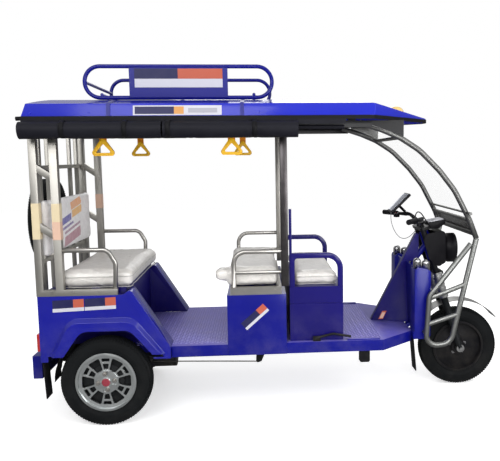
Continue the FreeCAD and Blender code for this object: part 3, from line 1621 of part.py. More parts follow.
os.makedirs("parts", exist_ok=True)
for name, shape in (
    ("chassis_frame", chassis_frame), ("rear_axle", rear_axle), ("drive_motor", drive_motor),
    ("leaf_springs", leaf_springs), ("battery_pack", battery_pack), ("floor_deck", floor_deck),
    ("rear_seat_base", rear_seat_base), ("rear_step", rear_step), ("mud_flaps", mud_flaps),
    ("rear_posts", rear_posts), ("rear_back_frame", rear_back_frame), ("rear_backrest", rear_backrest),
    ("rear_seat_cushion", rear_seat_cushion), ("seat_rails", seat_rails), ("mid_seat_box", mid_seat_box),
    ("mid_seat_cushion", mid_seat_cushion), ("driver_seat_box", driver_seat_box),
    ("driver_seat_rails", driver_seat_rails), ("driver_seat_cushion", driver_seat_cushion),
    ("roof_canopy", roof_canopy), ("roof_frame", roof_frame), ("luggage_rack", luggage_rack),
    ("sign_board", sign_board), ("roof_lamp", roof_lamp), ("curtain_rolls", curtain_rolls),
    ("spare_wheel", spare_wheel), ("headstock", headstock), ("front_cowl", front_cowl),
    ("console", console), ("front_guards", front_guards), ("windscreen_frame", windscreen_frame),
    ("windscreen_glass", windscreen_glass), ("windscreen_lower_panel", windscreen_lower_panel),
    ("mid_posts", mid_posts), ("grab_handles", grab_handles), ("front_fork", front_fork),
    ("handlebar", handlebar), ("handlebar_grips", handlebar_grips), ("headlamp", headlamp),
    ("headlamp_lens", headlamp_lens), ("dash_cluster", dash_cluster), ("display_unit", display_unit),
    ("front_fender", front_fender), ("brake_linkage", brake_linkage), ("tail_lamps", tail_lamps),
    ("cowl_lamps", cowl_lamps), ("rear_side_panels", rear_side_panels),
):
    save(name, shape())

for name, side in (("right", -1), ("left", 1)):
    hub = V(0, side * wheel_y, tyre_radius)
    save("rear_tyre_" + name, tyre(hub))
    save("rear_rim_" + name, alloy_rim(hub, side))

save("front_tyre", tyre(V(wheelbase, 0, tyre_radius)))
save("front_rim", steel_rim(V(wheelbase, 0, tyre_radius)))
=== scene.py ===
import bpy
import bmesh
import json
import math
from mathutils import Matrix, Vector, noise
from mathutils.bvhtree import BVHTree
from mathutils.geometry import convex_hull_2d


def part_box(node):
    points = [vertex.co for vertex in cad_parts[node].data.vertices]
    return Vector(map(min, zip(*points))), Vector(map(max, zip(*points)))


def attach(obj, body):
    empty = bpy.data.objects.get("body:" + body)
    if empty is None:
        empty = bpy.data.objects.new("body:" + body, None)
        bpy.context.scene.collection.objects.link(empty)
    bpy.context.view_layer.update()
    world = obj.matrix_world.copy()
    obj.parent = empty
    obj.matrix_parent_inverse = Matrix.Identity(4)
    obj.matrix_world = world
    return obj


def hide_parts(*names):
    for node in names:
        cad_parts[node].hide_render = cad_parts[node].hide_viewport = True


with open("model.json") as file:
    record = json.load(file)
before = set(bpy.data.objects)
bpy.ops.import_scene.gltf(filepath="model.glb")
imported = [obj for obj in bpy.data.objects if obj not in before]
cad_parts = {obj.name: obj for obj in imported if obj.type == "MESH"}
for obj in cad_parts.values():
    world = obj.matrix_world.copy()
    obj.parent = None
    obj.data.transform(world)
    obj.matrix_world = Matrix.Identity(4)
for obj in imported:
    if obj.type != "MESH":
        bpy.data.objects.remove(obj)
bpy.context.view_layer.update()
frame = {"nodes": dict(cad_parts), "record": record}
bodyOf = {node: body for body, nodes in frame["record"]["behaviour"]["bodies"].items() for node in nodes}
scene = bpy.context.scene
looks = {}
noise.seed_set(11)  # noise vectors come from the clock without it


# small tools for meshes

def linkPiece(name, data):
    piece = bpy.data.objects.new(name, data)
    scene.collection.objects.link(piece)
    return piece


def evaluatedMesh(piece):
    graph = bpy.context.evaluated_depsgraph_get()
    graph.update()
    return bpy.data.meshes.new_from_object(piece.evaluated_get(graph), depsgraph=graph)


def applyAll(piece):
    # bake every modifier into the mesh and drop them
    mesh = evaluatedMesh(piece)
    piece.modifiers.clear()
    old = piece.data
    piece.data = mesh
    mesh.name = piece.name
    if old.users == 0:
        bpy.data.meshes.remove(old)
    return piece


def smoothByAngle(piece, angle=40):
    piece.data.shade_smooth()
    piece.data.set_sharp_from_angle(angle=math.radians(angle))
    return piece


def fromBmesh(name, bm, angle=180, outward=True):
    # smooth up to the angle, or flat where there is none
    if outward:
        bmesh.ops.recalc_face_normals(bm, faces=bm.faces)
    piece = linkPiece(name, bpy.data.meshes.new(name))
    bm.to_mesh(piece.data)
    bm.free()
    return smoothByAngle(piece, angle) if angle else piece


def bridgeRings(bm, rings, looped=False, capped=False):
    # walls from each ring of corners to the next one
    faces = []
    for ring, after in zip(rings, rings[1:] + rings[:1] if looped else rings[1:]):
        for index in range(len(ring)):
            follow = (index + 1) % len(ring)
            faces.append(bm.faces.new((ring[index], ring[follow], after[follow], after[index])))
    if capped:
        faces += [bm.faces.new(rings[0][::-1]), bm.faces.new(rings[-1])]
    return faces


def easeEdges(piece, width, segments=2, limit=32, smooth=40):
    bevel = piece.modifiers.new("edgeRound", "BEVEL")
    bevel.width = width
    bevel.segments = segments
    bevel.limit_method = "ANGLE"
    bevel.angle_limit = math.radians(limit)
    return smoothByAngle(applyAll(piece), smooth)


def finishPiece(piece, body, look=None, replaced=()):
    if look:
        piece.data.materials.clear()
        piece.data.materials.append(looks[look])
    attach(piece, body)
    if replaced:
        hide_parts(*replaced)
    return piece


def copyOfNode(node, name):
    # a welded copy of a CAD node with its flat faces joined up again
    bm = bmesh.new()
    bm.from_mesh(frame["nodes"][node].data)
    bmesh.ops.remove_doubles(bm, verts=bm.verts, dist=0.00002)
    bmesh.ops.dissolve_limit(bm, angle_limit=math.radians(0.6), verts=bm.verts, edges=bm.edges,
                             delimit={"NORMAL"})
    return fromBmesh(name, bm, outward=False)


def nurbsCurve(name, points, steps, closed=False):
    curve = bpy.data.curves.new(name, "CURVE")
    curve.dimensions = "3D"
    curve.use_fill_caps = True
    spline = curve.splines.new("NURBS")
    spline.points.add(len(points) - 1)
    for place, point in zip(spline.points, points):
        place.co = (*point, 1)
    spline.order_u = 3
    spline.use_endpoint_u = not closed
    spline.use_cyclic_u = closed
    spline.resolution_u = steps
    return curve


def tube(name, points, radius, closed=False, steps=10, resolution=5):
    # a smooth tube through points in the frame
    guide = linkPiece(name, nurbsCurve(name, points, steps, closed))
    guide.data.bevel_depth = radius
    guide.data.bevel_resolution = resolution
    mesh = evaluatedMesh(guide)
    bpy.data.objects.remove(guide)
    mesh.shade_smooth()
    return linkPiece(name, mesh)


def lathe(name, profile, centre, axis="Y", steps=64, angle=180):
    # profile holds (radius, along) pairs turned about an axis through centre
    bm = bmesh.new()
    rings = []
    for index in range(steps):
        turn = 2 * math.pi * index / steps
        ring = []
        for radius, along in profile:
            across, up = radius * math.sin(turn), radius * math.cos(turn)
            spot = {"X": (along, across, up), "Y": (across, along, up), "Z": (across, up, along)}[axis]
            ring.append(bm.verts.new(centre + Vector(spot)))
        rings.append(ring)
    bridgeRings(bm, rings, looped=True)
    bmesh.ops.remove_doubles(bm, verts=bm.verts, dist=0.00001)
    return fromBmesh(name, bm, angle)


def boxMiddle(node):
    low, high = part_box(node)
    return (low + high) / 2


print("stage: tools ready")


# small tools for nodes

def addNode(tree, kind, **values):
    # in_Name or in_0 gives an input its value or the socket that feeds it
    node = tree.nodes.new(kind if "Node" in kind else tree.bl_idname.replace("Tree", kind))
    for key, value in values.items():
        if not key.startswith("in_"):
            setattr(node, key, value)
            continue
        label = key[3:].replace("_", " ")
        entry = node.inputs[int(label) if label.isdigit() else label]
        if isinstance(value, bpy.types.NodeSocket):
            tree.links.new(value, entry)
        else:
            entry.default_value = value
    return node


def mathNode(tree, operation, *terms):
    entries = {"in_%d" % index: term for index, term in enumerate(terms)}
    return addNode(tree, "ShaderNodeMath", operation=operation, **entries).outputs[0]


def scaled(tree, value, factor, plus):
    return mathNode(tree, "MULTIPLY_ADD", value, factor, plus)


def mixColour(tree, factor, *tones):
    first, second = [tone if isinstance(tone, bpy.types.NodeSocket) else (*tone, 1) for tone in tones]
    return addNode(tree, "Mix", data_type="RGBA", in_0=factor, in_6=first, in_7=second).outputs[2]


def noiseIn(tree, place, scale, detail, roughness=0.5, distortion=0.0, output="Fac"):
    return addNode(tree, "TexNoise", in_Vector=place, in_Scale=scale, in_Detail=detail,
                   in_Roughness=roughness, in_Distortion=distortion).outputs[output]


def ramp(tree, source, low, high):
    node = addNode(tree, "ValToRGB", in_Fac=source)
    for element, position, level in zip(node.color_ramp.elements, (low, high), (0, 1)):
        element.position = position
        element.color = (level, level, level, 1)
    return node.outputs["Color"]


# shader groups that several finishes share

def newGroup(name, output, **inputs):
    tree = bpy.data.node_groups.new(name, "ShaderNodeTree")
    for label, value in inputs.items():
        tree.interface.new_socket(label, in_out="INPUT", socket_type="NodeSocketFloat").default_value = value
    tree.interface.new_socket(output, in_out="OUTPUT", socket_type="NodeSocketFloat")
    given, end = addNode(tree, "NodeGroupInput").outputs, addNode(tree, "NodeGroupOutput").inputs[output]
    return tree, given, end, addNode(tree, "TexCoord").outputs["Object"]


def buildDust():
    # dust that gathers low down, broken up by noise
    tree, given, end, place = newGroup("roadDust", "Mask", Amount=0.2, Top=0.9)
    height = addNode(tree, "SeparateXYZ", in_Vector=place).outputs["Z"]
    falling = addNode(tree, "MapRange", in_Value=height, in_From_Max=given["Top"], in_3=1.0, in_4=0.0)
    broken = ramp(tree, noiseIn(tree, place, 9.0, 6.0, 0.65), 0.42, 0.72)
    both = mathNode(tree, "MULTIPLY", broken, mathNode(tree, "ADD", noiseIn(tree, place, 160.0, 3.0), 0.35))
    low = mathNode(tree, "MULTIPLY", both, falling.outputs["Result"])
    tree.links.new(mathNode(tree, "MULTIPLY", low, given["Amount"]), end)
    return tree


def buildScuffs():
    # thin rubbed lines and small chips
    tree, given, end, place = newGroup("rubbedScuffs", "Mask", Scale=8.0, Amount=0.3)
    bend = noiseIn(tree, place, 3.0, 2.0, output="Color")
    shifted = addNode(tree, "VectorMath", operation="ADD", in_0=place, in_1=bend).outputs[0]
    stretched = addNode(tree, "Mapping", in_Vector=shifted, in_Scale=(1.0, 1.0, 14.0),
                        in_Rotation=(0.0, 0.5, 0.3))
    thin = ramp(tree, noiseIn(tree, stretched.outputs[0], given["Scale"], 4.0, 0.7), 0.62, 0.7)
    kept = mathNode(tree, "MULTIPLY", thin, ramp(tree, noiseIn(tree, place, 5.0, 2.0), 0.5, 0.65))
    tree.links.new(mathNode(tree, "MULTIPLY", kept, given["Amount"]), end)
    return tree


def buildGrain():
    # fine moulded or orange peel surface, as a height
    tree, given, end, place = newGroup("fineGrain", "Height", Scale=400.0, Pebble=0.5)
    cells = addNode(tree, "TexVoronoi", feature="SMOOTH_F1", in_Vector=place, in_Scale=given["Scale"])
    mixed = mathNode(tree, "MULTIPLY", cells.outputs["Distance"], given["Pebble"])
    tree.links.new(mathNode(tree, "ADD", noiseIn(tree, place, given["Scale"], 3.0), mixed), end)
    return tree


def buildBrushing():
    # long fine lines of a brushed tube, along and up
    tree, given, end, place = newGroup("brushedLines", "Height", Scale=90.0)
    lines = []
    for stretch in ((0.05, 1.0, 1.0), (1.0, 1.0, 0.05)):
        longer = addNode(tree, "Mapping", in_Vector=place, in_Scale=stretch).outputs[0]
        lines.append(noiseIn(tree, longer, given["Scale"], 5.0, 0.75))
    tree.links.new(mathNode(tree, "MULTIPLY", mathNode(tree, "ADD", *lines), 0.5), end)
    return tree


dustGroup, scuffGroup, grainGroup, brushGroup = buildDust(), buildScuffs(), buildGrain(), buildBrushing()


# finishes

dustColour = (0.36, 0.31, 0.25)
rubberDust = (0.2, 0.18, 0.16)


def newMaterial(name):
    looks[name] = material = bpy.data.materials.new(name)
    material.use_nodes = True
    tree = material.node_tree
    return tree, addNode(tree, "TexCoord").outputs["Object"]


def closeMaterial(tree, base, rough, bump=None, **levels):
    # bump holds a height, a strength and a distance
    shader = tree.nodes["Principled BSDF"]
    tree.links.new(base, shader.inputs["Base Color"])
    tree.links.new(rough, shader.inputs["Roughness"])
    if bump:
        node = addNode(tree, "Bump", in_Height=bump[0], in_Strength=bump[1], in_Distance=bump[2])
        tree.links.new(node.outputs["Normal"], shader.inputs["Normal"])
    names = {"coat": "Coat Weight", "coatRoughness": "Coat Roughness", "specular": "Specular IOR Level",
             "metallic": "Metallic", "alpha": "Alpha", "transmission": "Transmission Weight", "bend": "IOR"}
    for key, value in levels.items():
        shader.inputs[names[key]].default_value = value


def placeGroup(tree, group, **values):
    entries = {"in_" + key: value for key, value in values.items()}
    return addNode(tree, "Group", node_tree=group, **entries).outputs[0]


def dusted(tree, base, amount, top, colour=dustColour):
    mask = placeGroup(tree, dustGroup, Amount=amount, Top=top)
    return mixColour(tree, mask, base, colour), mask


def grained(tree, scale, pebble):
    return placeGroup(tree, grainGroup, Scale=scale, Pebble=pebble)


def paint(name, colour, deep, roughness=0.3, coat=0.12, dust=0.16, scuff=0.12, dustTop=0.7):
    # sprayed and baked paint with a slight mottle, rubbed marks and road dust
    tree, place = newMaterial(name)
    base = mixColour(tree, noiseIn(tree, place, 4.0, 4.0), deep, colour)
    marks = placeGroup(tree, scuffGroup, Scale=9.0, Amount=scuff)
    base = mixColour(tree, marks, base, [min(1.0, value * 1.6 + 0.06) for value in colour])
    base, mask = dusted(tree, base, dust, dustTop)
    rough = scaled(tree, marks, 0.25, scaled(tree, mask, 0.6, roughness))
    closeMaterial(tree, base, rough, (grained(tree, 260.0, 0.2), 0.05, 0.0006), coat=coat, coatRoughness=0.12,
                  specular=0.18)


def metal(name, colour, roughness, brushed=0.12, tint=0.12, dust=0.15):
    tree, place = newMaterial(name)
    darker = [value * (1 - tint * 2.4) for value in colour]
    base = mixColour(tree, noiseIn(tree, place, 14.0, 5.0, 0.6), darker, colour)
    base, mask = dusted(tree, base, dust, 1.0)
    lines = placeGroup(tree, brushGroup, Scale=110.0)
    rough = scaled(tree, mask, 0.5, scaled(tree, lines, 0.18, roughness - 0.08))
    closeMaterial(tree, base, rough, (lines, brushed, 0.0004), metallic=1.0)


def rubber(name, colour, roughness=0.72, dust=0.45, dustTop=0.7):
    tree, place = newMaterial(name)
    patchy = noiseIn(tree, place, 11.0, 5.0)
    base = mixColour(tree, patchy, colour, [value * 1.9 + 0.003 for value in colour])
    base = dusted(tree, base, dust, dustTop, rubberDust)[0]
    rough = scaled(tree, patchy, 0.2, roughness - 0.1)
    closeMaterial(tree, base, rough, (grained(tree, 300.0, 0.6), 0.25, 0.0008), specular=0.12)


def plastic(name, colour, roughness=0.4, bump=0.08, dust=0.15, coat=0.0, specular=0.4):
    tree, place = newMaterial(name)
    patch = noiseIn(tree, place, 12.0, 4.0)
    base = mixColour(tree, patch, colour, [min(1, value * 1.25 + 0.003) for value in colour])
    base = dusted(tree, base, dust, 1.2)[0]
    rough = scaled(tree, patch, 0.15, roughness - 0.07)
    closeMaterial(tree, base, rough, (grained(tree, 500.0, 0.5), bump, 0.0005), coat=coat, specular=specular)


def vinyl(name, colour, shade, stripes=None):
    # soft grained seat cover with faint creases, darkened along the crease lines as painted shade
    tree, place = newMaterial(name)
    base = mixColour(tree, noiseIn(tree, place, 5.0, 5.0, 0.6), shade, colour)
    crease = noiseIn(tree, place, 16.0, 6.0, distortion=1.6)
    # painted shade: the crease lines are darkened towards the shade tone
    creaseShade = mathNode(tree, "MULTIPLY", ramp(tree, crease, 0.46, 0.56), 0.16)
    base = mixColour(tree, creaseShade, base, [value * 0.62 for value in shade])
    if stripes:
        base = stripes(tree, place, base)
    height = scaled(tree, grained(tree, 620.0, 1.0), 0.12, crease)
    rough = scaled(tree, crease, 0.25, 0.2)
    closeMaterial(tree, base, rough, (height, 0.5, 0.004), coat=0.25, coatRoughness=0.25)


def cloth(name, colour, weave=900.0):
    tree, place = newMaterial(name)
    waves = [addNode(tree, "TexWave", bands_direction=direction, in_Vector=place, in_Scale=weave / 6.28,
                     in_Distortion=0.4).outputs["Fac"] for direction in ("X", "Z")]
    threads = mathNode(tree, "MULTIPLY", *waves)
    patch = noiseIn(tree, place, 8.0, 5.0)
    lighter = [value * 1.8 + 0.005 for value in colour]
    base = mixColour(tree, patch, colour, lighter)
    base = mixColour(tree, mathNode(tree, "MULTIPLY", threads, 0.25), base, lighter)
    closeMaterial(tree, base, scaled(tree, patch, 0.25, 0.4), (threads, 0.25, 0.0006), specular=0.12)


def clearSheet(name, tones, haze, rough, **levels):
    # glass or clear plastic with a faint haze
    tree, place = newMaterial(name)
    cloud = noiseIn(tree, place, haze, 5.0)
    closeMaterial(tree, mixColour(tree, cloud, *tones), scaled(tree, cloud, *rough), **levels)


def ink(name):
    # printed film: its colour comes from the piece's own ink attribute
    tree, place = newMaterial(name)
    colour = addNode(tree, "Attribute", attribute_name="ink").outputs["Color"]
    fading = noiseIn(tree, place, 22.0, 5.0)
    base = mixColour(tree, mathNode(tree, "MULTIPLY", fading, 0.08), colour, (0.3, 0.29, 0.3))
    rough = scaled(tree, fading, 0.2, 0.28)
    closeMaterial(tree, base, rough, (grained(tree, 500.0, 0.3), 0.06, 0.0004), specular=0.2)


backrestBlocks = (  # across the car, up, colour
    ((-0.02, 0.2), (1.155, 1.2), (0.86, 0.42, 0.2)), ((0.0, 0.2), (1.105, 1.15), (0.88, 0.5, 0.16)),
    ((-0.2, -0.02), (1.1, 1.14), (0.14, 0.13, 0.42)), ((-0.2, 0.02), (1.07, 1.085), (0.24, 0.18, 0.4)),
    ((-0.16, 0.16), (1.04, 1.055), (0.42, 0.27, 0.36)), ((-0.16, 0.16), (0.965, 1.025), (0.5, 0.26, 0.32)))


def backrestPrint(tree, place, base):
    # faded slanting blocks of colour on the middle of the backrest cover
    parts = addNode(tree, "SeparateXYZ", in_Vector=place).outputs
    lean = scaled(tree, parts["Y"], -0.12, parts["Z"])
    worn = noiseIn(tree, place, 30.0, 6.0)
    for across, up, colour in backrestBlocks:
        mask = scaled(tree, worn, 0.5, 0.68)
        for source, (low, high) in ((parts["Y"], across), (lean, up)):
            mask = mathNode(tree, "MULTIPLY", mask, mathNode(tree, "GREATER_THAN", source, low))
            mask = mathNode(tree, "MULTIPLY", mask, mathNode(tree, "LESS_THAN", source, high))
        base = mixColour(tree, mask, base, colour)
    return base


paint("bluePaint", (0.003, 0.005, 0.2), (0.002, 0.0035, 0.145))
paint("panelBlue", (0.006, 0.008, 0.27), (0.004, 0.006, 0.19), roughness=0.2, coat=0.5, scuff=0.06)
# a darker copy of the body blue for the console, the driver's seat box and its rails and the rear seat base,
# which sit in the cab's shade: painted shade
paint("darkBluePaint", (0.008, 0.005, 0.13), (0.005, 0.003, 0.085))
paint("roofBlue", (0.012, 0.02, 0.42), (0.008, 0.014, 0.33), roughness=0.2, coat=0.25, dust=0.04)
# a lighter, lilac copy of the body blue for the floor's upward faces: painted top light and sky reflection,
# with the real dust and scuffs of a trodden floor
paint("treadBlueLitTop", (0.12, 0.105, 0.46), (0.08, 0.07, 0.34), roughness=0.42, coat=0.1, dust=0.4, scuff=0.4,
      dustTop=0.8)
# a paler copy of the floor blue for the raised lozenges: painted highlight on their tops
paint("treadLozengeHighlight", (0.34, 0.31, 0.66), (0.26, 0.23, 0.54), roughness=0.36, coat=0.1, dust=0.3)
paint("blackPaint", (0.006, 0.006, 0.008), (0.004, 0.004, 0.005), roughness=0.45, coat=0.05, dust=0.08,
      scuff=0.05)
metal("railSteel", (0.48, 0.465, 0.44), 0.36)
metal("postSteel", (0.47, 0.455, 0.42), 0.42, tint=0.08)
metal("guardSteel", (0.25, 0.255, 0.248), 0.44, brushed=0.02)
# a darkened copy of the post steel for the near middle post: painted shade
metal("shadedMidSteel", (0.13, 0.12, 0.125), 0.34, tint=0.3)
metal("screenSteel", (0.19, 0.19, 0.185), 0.46, brushed=0.02)
metal("chrome", (0.42, 0.42, 0.43), 0.24, brushed=0.03, tint=0.1)
metal("forkSteel", (0.5, 0.5, 0.5), 0.36, brushed=0.06, tint=0.1)
metal("fenderSteel", (0.3, 0.3, 0.295), 0.34, brushed=0.05, tint=0.1)
metal("alloy", (0.68, 0.71, 0.71), 0.3, brushed=0.02, tint=0.14, dust=0.04)
metal("castMetal", (0.08, 0.08, 0.085), 0.6, brushed=0.2, dust=0.4)
metal("darkSteel", (0.12, 0.115, 0.11), 0.48, brushed=0.1, dust=0.4)
rubber("tyre", (0.0025, 0.003, 0.0035), dust=0.07, dustTop=0.4)
rubber("rubber", (0.003, 0.003, 0.004), roughness=0.6, dust=0.05)
rubber("wheelDark", (0.006, 0.007, 0.008), roughness=0.55, dust=0.1)
plastic("blackPlastic", (0.0025, 0.0022, 0.004), dust=0.02, specular=0.12)
plastic("yellowPlastic", (0.72, 0.4, 0.012), roughness=0.35, bump=0.03, dust=0.04)
plastic("orangePlastic", (0.62, 0.2, 0.008), roughness=0.38, bump=0.03, dust=0.04)
plastic("redPlastic", (0.22, 0.02, 0.035), roughness=0.3, coat=0.4)
plastic("amberLens", (0.74, 0.5, 0.16), roughness=0.2, coat=0.6, dust=0.05)
plastic("redLens", (0.42, 0.012, 0.012), roughness=0.16, coat=0.8, dust=0.1)
plastic("greyPlastic", (0.36, 0.36, 0.4), roughness=0.3, coat=0.3, dust=0.04)
plastic("greyCable", (0.17, 0.17, 0.18), roughness=0.45, dust=0.02)
plastic("screenFace", (0.27, 0.3, 0.42), roughness=0.14, bump=0.0, coat=0.6, dust=0.0)
vinyl("seatVinyl", (0.74, 0.715, 0.685), (0.6, 0.58, 0.55))
vinyl("backrestVinyl", (0.93, 0.91, 0.92), (0.84, 0.82, 0.83), backrestPrint)
vinyl("piping", (0.5, 0.49, 0.46), (0.4, 0.39, 0.37))
cloth("curtain", (0.0035, 0.0035, 0.0065))
cloth("strap", (0.0015, 0.0015, 0.0025), 1600.0)
ink("printed")
clearSheet("glass", ((0.85, 0.9, 0.9), (0.901, 0.954, 0.954)), 6.0, (0.02, 0.02), transmission=0.0, bend=1.45,
           alpha=0.035)
clearSheet("lensGlass", ((0.92, 0.94, 0.94), (0.9752, 0.9964, 0.9964)), 6.0, (0.02, 0.08), transmission=1.0,
           bend=1.45)
clearSheet("smokedPanel", ((0.0595, 0.056, 0.056), (0.085, 0.08, 0.08)), 9.0, (0.1, 0.22), alpha=0.94)
print("stage: materials ready", len(looks))


# places on the object

axleX = boxMiddle("rear_tyre_right").x
surfaceTrees = {}


def at(x, y, z):
    # millimetres ahead of the rear axle, to the left and up
    return Vector((axleX + x / 1000, y / 1000, z / 1000))


def surfaceAt(node, start, aim, fallback=None):
    # first point of a CAD node that a line from start meets
    if node not in surfaceTrees:
        mesh = frame["nodes"][node].data
        surfaceTrees[node] = BVHTree.FromPolygons([vert.co for vert in mesh.vertices],
                                                  [face.vertices for face in mesh.polygons])
    spot = surfaceTrees[node].ray_cast(start, Vector(aim))[0]
    return spot if spot is not None else fallback


# repeats made by geometry nodes

def geometryTree(name, inputs):
    kinds = {float: "NodeSocketFloat", int: "NodeSocketInt", tuple: "NodeSocketVector"}
    tree = bpy.data.node_groups.new(name, "GeometryNodeTree")
    for way in ("OUTPUT", "INPUT"):
        tree.interface.new_socket("Geometry", in_out=way, socket_type="NodeSocketGeometry")
    for label, value in inputs.items():
        tree.interface.new_socket(label, in_out="INPUT", socket_type=kinds[type(value)]).default_value = value
    return tree, addNode(tree, "NodeGroupInput").outputs, addNode(tree, "NodeGroupOutput").inputs["Geometry"]


def closeTree(tree, geometry, end, look):
    real = addNode(tree, "RealizeInstances", in_Geometry=geometry).outputs[0]
    tree.links.new(addNode(tree, "SetMaterial", in_Geometry=real, in_Material=looks[look]).outputs[0], end)
    return tree


def aimedCopies(tree, points, shape):
    # one copy at each point, turned to that point's own direction
    aim = addNode(tree, "InputNamedAttribute", data_type="FLOAT_VECTOR", in_Name="aim").outputs["Attribute"]
    turn = addNode(tree, "FunctionNodeAlignRotationToVector", axis="Z", in_Vector=aim).outputs[0]
    return addNode(tree, "InstanceOnPoints", in_Points=points, in_Instance=shape, in_Rotation=turn).outputs[0]


def runTree(name, tree, points=(), sizes=None, aims=None):
    carrier = linkPiece(name, bpy.data.meshes.new(name))
    carrier.data.from_pydata([tuple(point) for point in points], [], [])
    if aims:
        layer = carrier.data.attributes.new("aim", "FLOAT_VECTOR", "POINT")
        for item, aim in zip(layer.data, aims):
            item.vector = aim
    modifier = carrier.modifiers.new(name, "NODES")
    modifier.node_group = tree
    sockets = {item.name: item.identifier for item in tree.interface.items_tree if item.in_out == "INPUT"}
    for label, value in (sizes or {}).items():
        modifier[sockets[label]] = value
    return applyAll(carrier)


def boltTree(name, look):
    # a hexagon head on a washer
    tree, given, end = geometryTree(name, {"Head Radius": 0.007, "Head Depth": 0.005})
    radius, depth = given["Head Radius"], given["Head Depth"]
    head = addNode(tree, "MeshCylinder", in_Vertices=6, in_Radius=radius, in_Depth=depth).outputs["Mesh"]
    lift = addNode(tree, "ShaderNodeCombineXYZ", in_Z=mathNode(tree, "MULTIPLY", depth, 0.62)).outputs[0]
    raised = addNode(tree, "Transform", in_Geometry=head, in_Translation=lift).outputs[0]
    washer = addNode(tree, "MeshCylinder", in_Vertices=18, in_Radius=mathNode(tree, "MULTIPLY", radius, 1.5),
                     in_Depth=mathNode(tree, "MULTIPLY", depth, 0.36)).outputs["Mesh"]
    join = addNode(tree, "JoinGeometry")
    for part in (washer, raised):
        tree.links.new(part, join.inputs[0])
    return closeTree(tree, aimedCopies(tree, given["Geometry"], join.outputs[0]), end, look)


def rivetTree(name, look):
    # a low domed head
    tree, given, end = geometryTree(name, {"Head Radius": 0.005})
    dome = addNode(tree, "MeshUVSphere", in_Segments=12, in_Rings=6, in_Radius=given["Head Radius"])
    low = addNode(tree, "Transform", in_Geometry=dome.outputs["Mesh"], in_Scale=(1.0, 1.0, 0.45)).outputs[0]
    return closeTree(tree, aimedCopies(tree, given["Geometry"], low), end, look)


def chequerTree(name, look):
    # raised lozenges on a grid, each turned a quarter from its neighbours
    tree, given, end = geometryTree(name, {"Long": 1.0, "Wide": 0.5, "Columns": 41})
    whole = mathNode(tree, "MULTIPLY", mathNode(tree, "ADD", given["Long"], given["Wide"]), 0.71)
    grid = addNode(tree, "MeshGrid", in_Size_X=whole, in_Size_Y=whole, in_Vertices_X=given["Columns"],
                   in_Vertices_Y=given["Columns"]).outputs["Mesh"]
    every = mathNode(tree, "MODULO", addNode(tree, "InputIndex").outputs[0], 2.0)
    marked = addNode(tree, "StoreNamedAttribute", in_Geometry=grid, in_Name="odd", in_Value=every).outputs[0]
    slanted = addNode(tree, "Transform", in_Geometry=marked, in_Rotation=(0.0, 0.0, math.pi / 4)).outputs[0]
    position = addNode(tree, "InputPosition").outputs[0]
    parts = addNode(tree, "ShaderNodeSeparateXYZ", in_Vector=position).outputs
    beyond = []
    for axis, label in (("X", "Long"), ("Y", "Wide")):
        reach = mathNode(tree, "MULTIPLY", given[label], 0.5)
        beyond.append(mathNode(tree, "GREATER_THAN", mathNode(tree, "ABSOLUTE", parts[axis]), reach))
    kept = addNode(tree, "DeleteGeometry", domain="POINT", in_Geometry=slanted,
                   in_Selection=mathNode(tree, "MAXIMUM", *beyond)).outputs[0]
    moved = addNode(tree, "InstanceOnPoints", in_Points=given["Geometry"], in_Instance=kept).outputs[0]
    points = addNode(tree, "RealizeInstances", in_Geometry=moved).outputs[0]
    bar = addNode(tree, "MeshUVSphere", in_Segments=8, in_Rings=4, in_Radius=1.0).outputs["Mesh"]
    flat = addNode(tree, "Transform", in_Geometry=bar, in_Scale=(0.0086, 0.0028, 0.0017)).outputs[0]
    odd = addNode(tree, "InputNamedAttribute", data_type="FLOAT", in_Name="odd").outputs["Attribute"]
    quarter = scaled(tree, odd, math.pi / 2, math.radians(8))
    euler = addNode(tree, "ShaderNodeCombineXYZ", in_Z=quarter).outputs[0]
    turn = addNode(tree, "FunctionNodeEulerToRotation", in_Euler=euler).outputs[0]
    placed = addNode(tree, "InstanceOnPoints", in_Points=points, in_Instance=flat, in_Rotation=turn)
    return closeTree(tree, placed.outputs[0], end, look)


# CAD pieces with eased edges, by finish: each node's rounding in millimetres

easedNodes = {
    "blackPaint": {"chassis_frame": 2.0, "roof_frame": 1.5, "brake_linkage": 0.8, "handlebar": 0.8,
                   "front_rim": 1.0},
    "castMetal": {"rear_axle": 1.5, "drive_motor": 3.0},
    "darkSteel": {"leaf_springs": 1.0},
    "blackPlastic": {"battery_pack": 5.0, "headlamp": 1.0, "dash_cluster": 2.0, "display_unit": 1.0},
    "bluePaint": {"floor_deck": 1.2, "rear_step": 1.2, "mid_seat_box": 1.2, "luggage_rack": 0.8,
                  "sign_board": 1.0, "headstock": 1.0, "front_cowl": 1.2},
    # the parts in the cab's shade take the darker copy of the body blue: painted shade
    "darkBluePaint": {"rear_seat_base": 1.2, "driver_seat_box": 1.0, "driver_seat_rails": 5.0,
                      "console": 1.2},
    "panelBlue": {"rear_side_panels": 1.4}, "roofBlue": {"roof_canopy": 7.0},
    "rubber": {"mud_flaps": 1.5, "handlebar_grips": 1.0},
    "postSteel": {"rear_posts": 2.0, "rear_back_frame": 2.0}, "shadedMidSteel": {"mid_posts": 4.0},
    "railSteel": {"seat_rails": 1.0}, "guardSteel": {"front_guards": 0.8},
    "screenSteel": {"windscreen_frame": 0.8},
    "forkSteel": {"front_fork": 1.0}, "fenderSteel": {"front_fender": 0.6}, "chrome": {"cowl_lamps": 0.8},
    "alloy": {"rear_rim_right": 1.6, "rear_rim_left": 1.6}, "yellowPlastic": {"grab_handles": 2.4},
    "redLens": {"tail_lamps": 1.5}, "amberLens": {"roof_lamp": 0.8}, "lensGlass": {"headlamp_lens": 0.5},
    "glass": {"windscreen_glass": 0.5}, "smokedPanel": {"windscreen_lower_panel": 0.5},
}


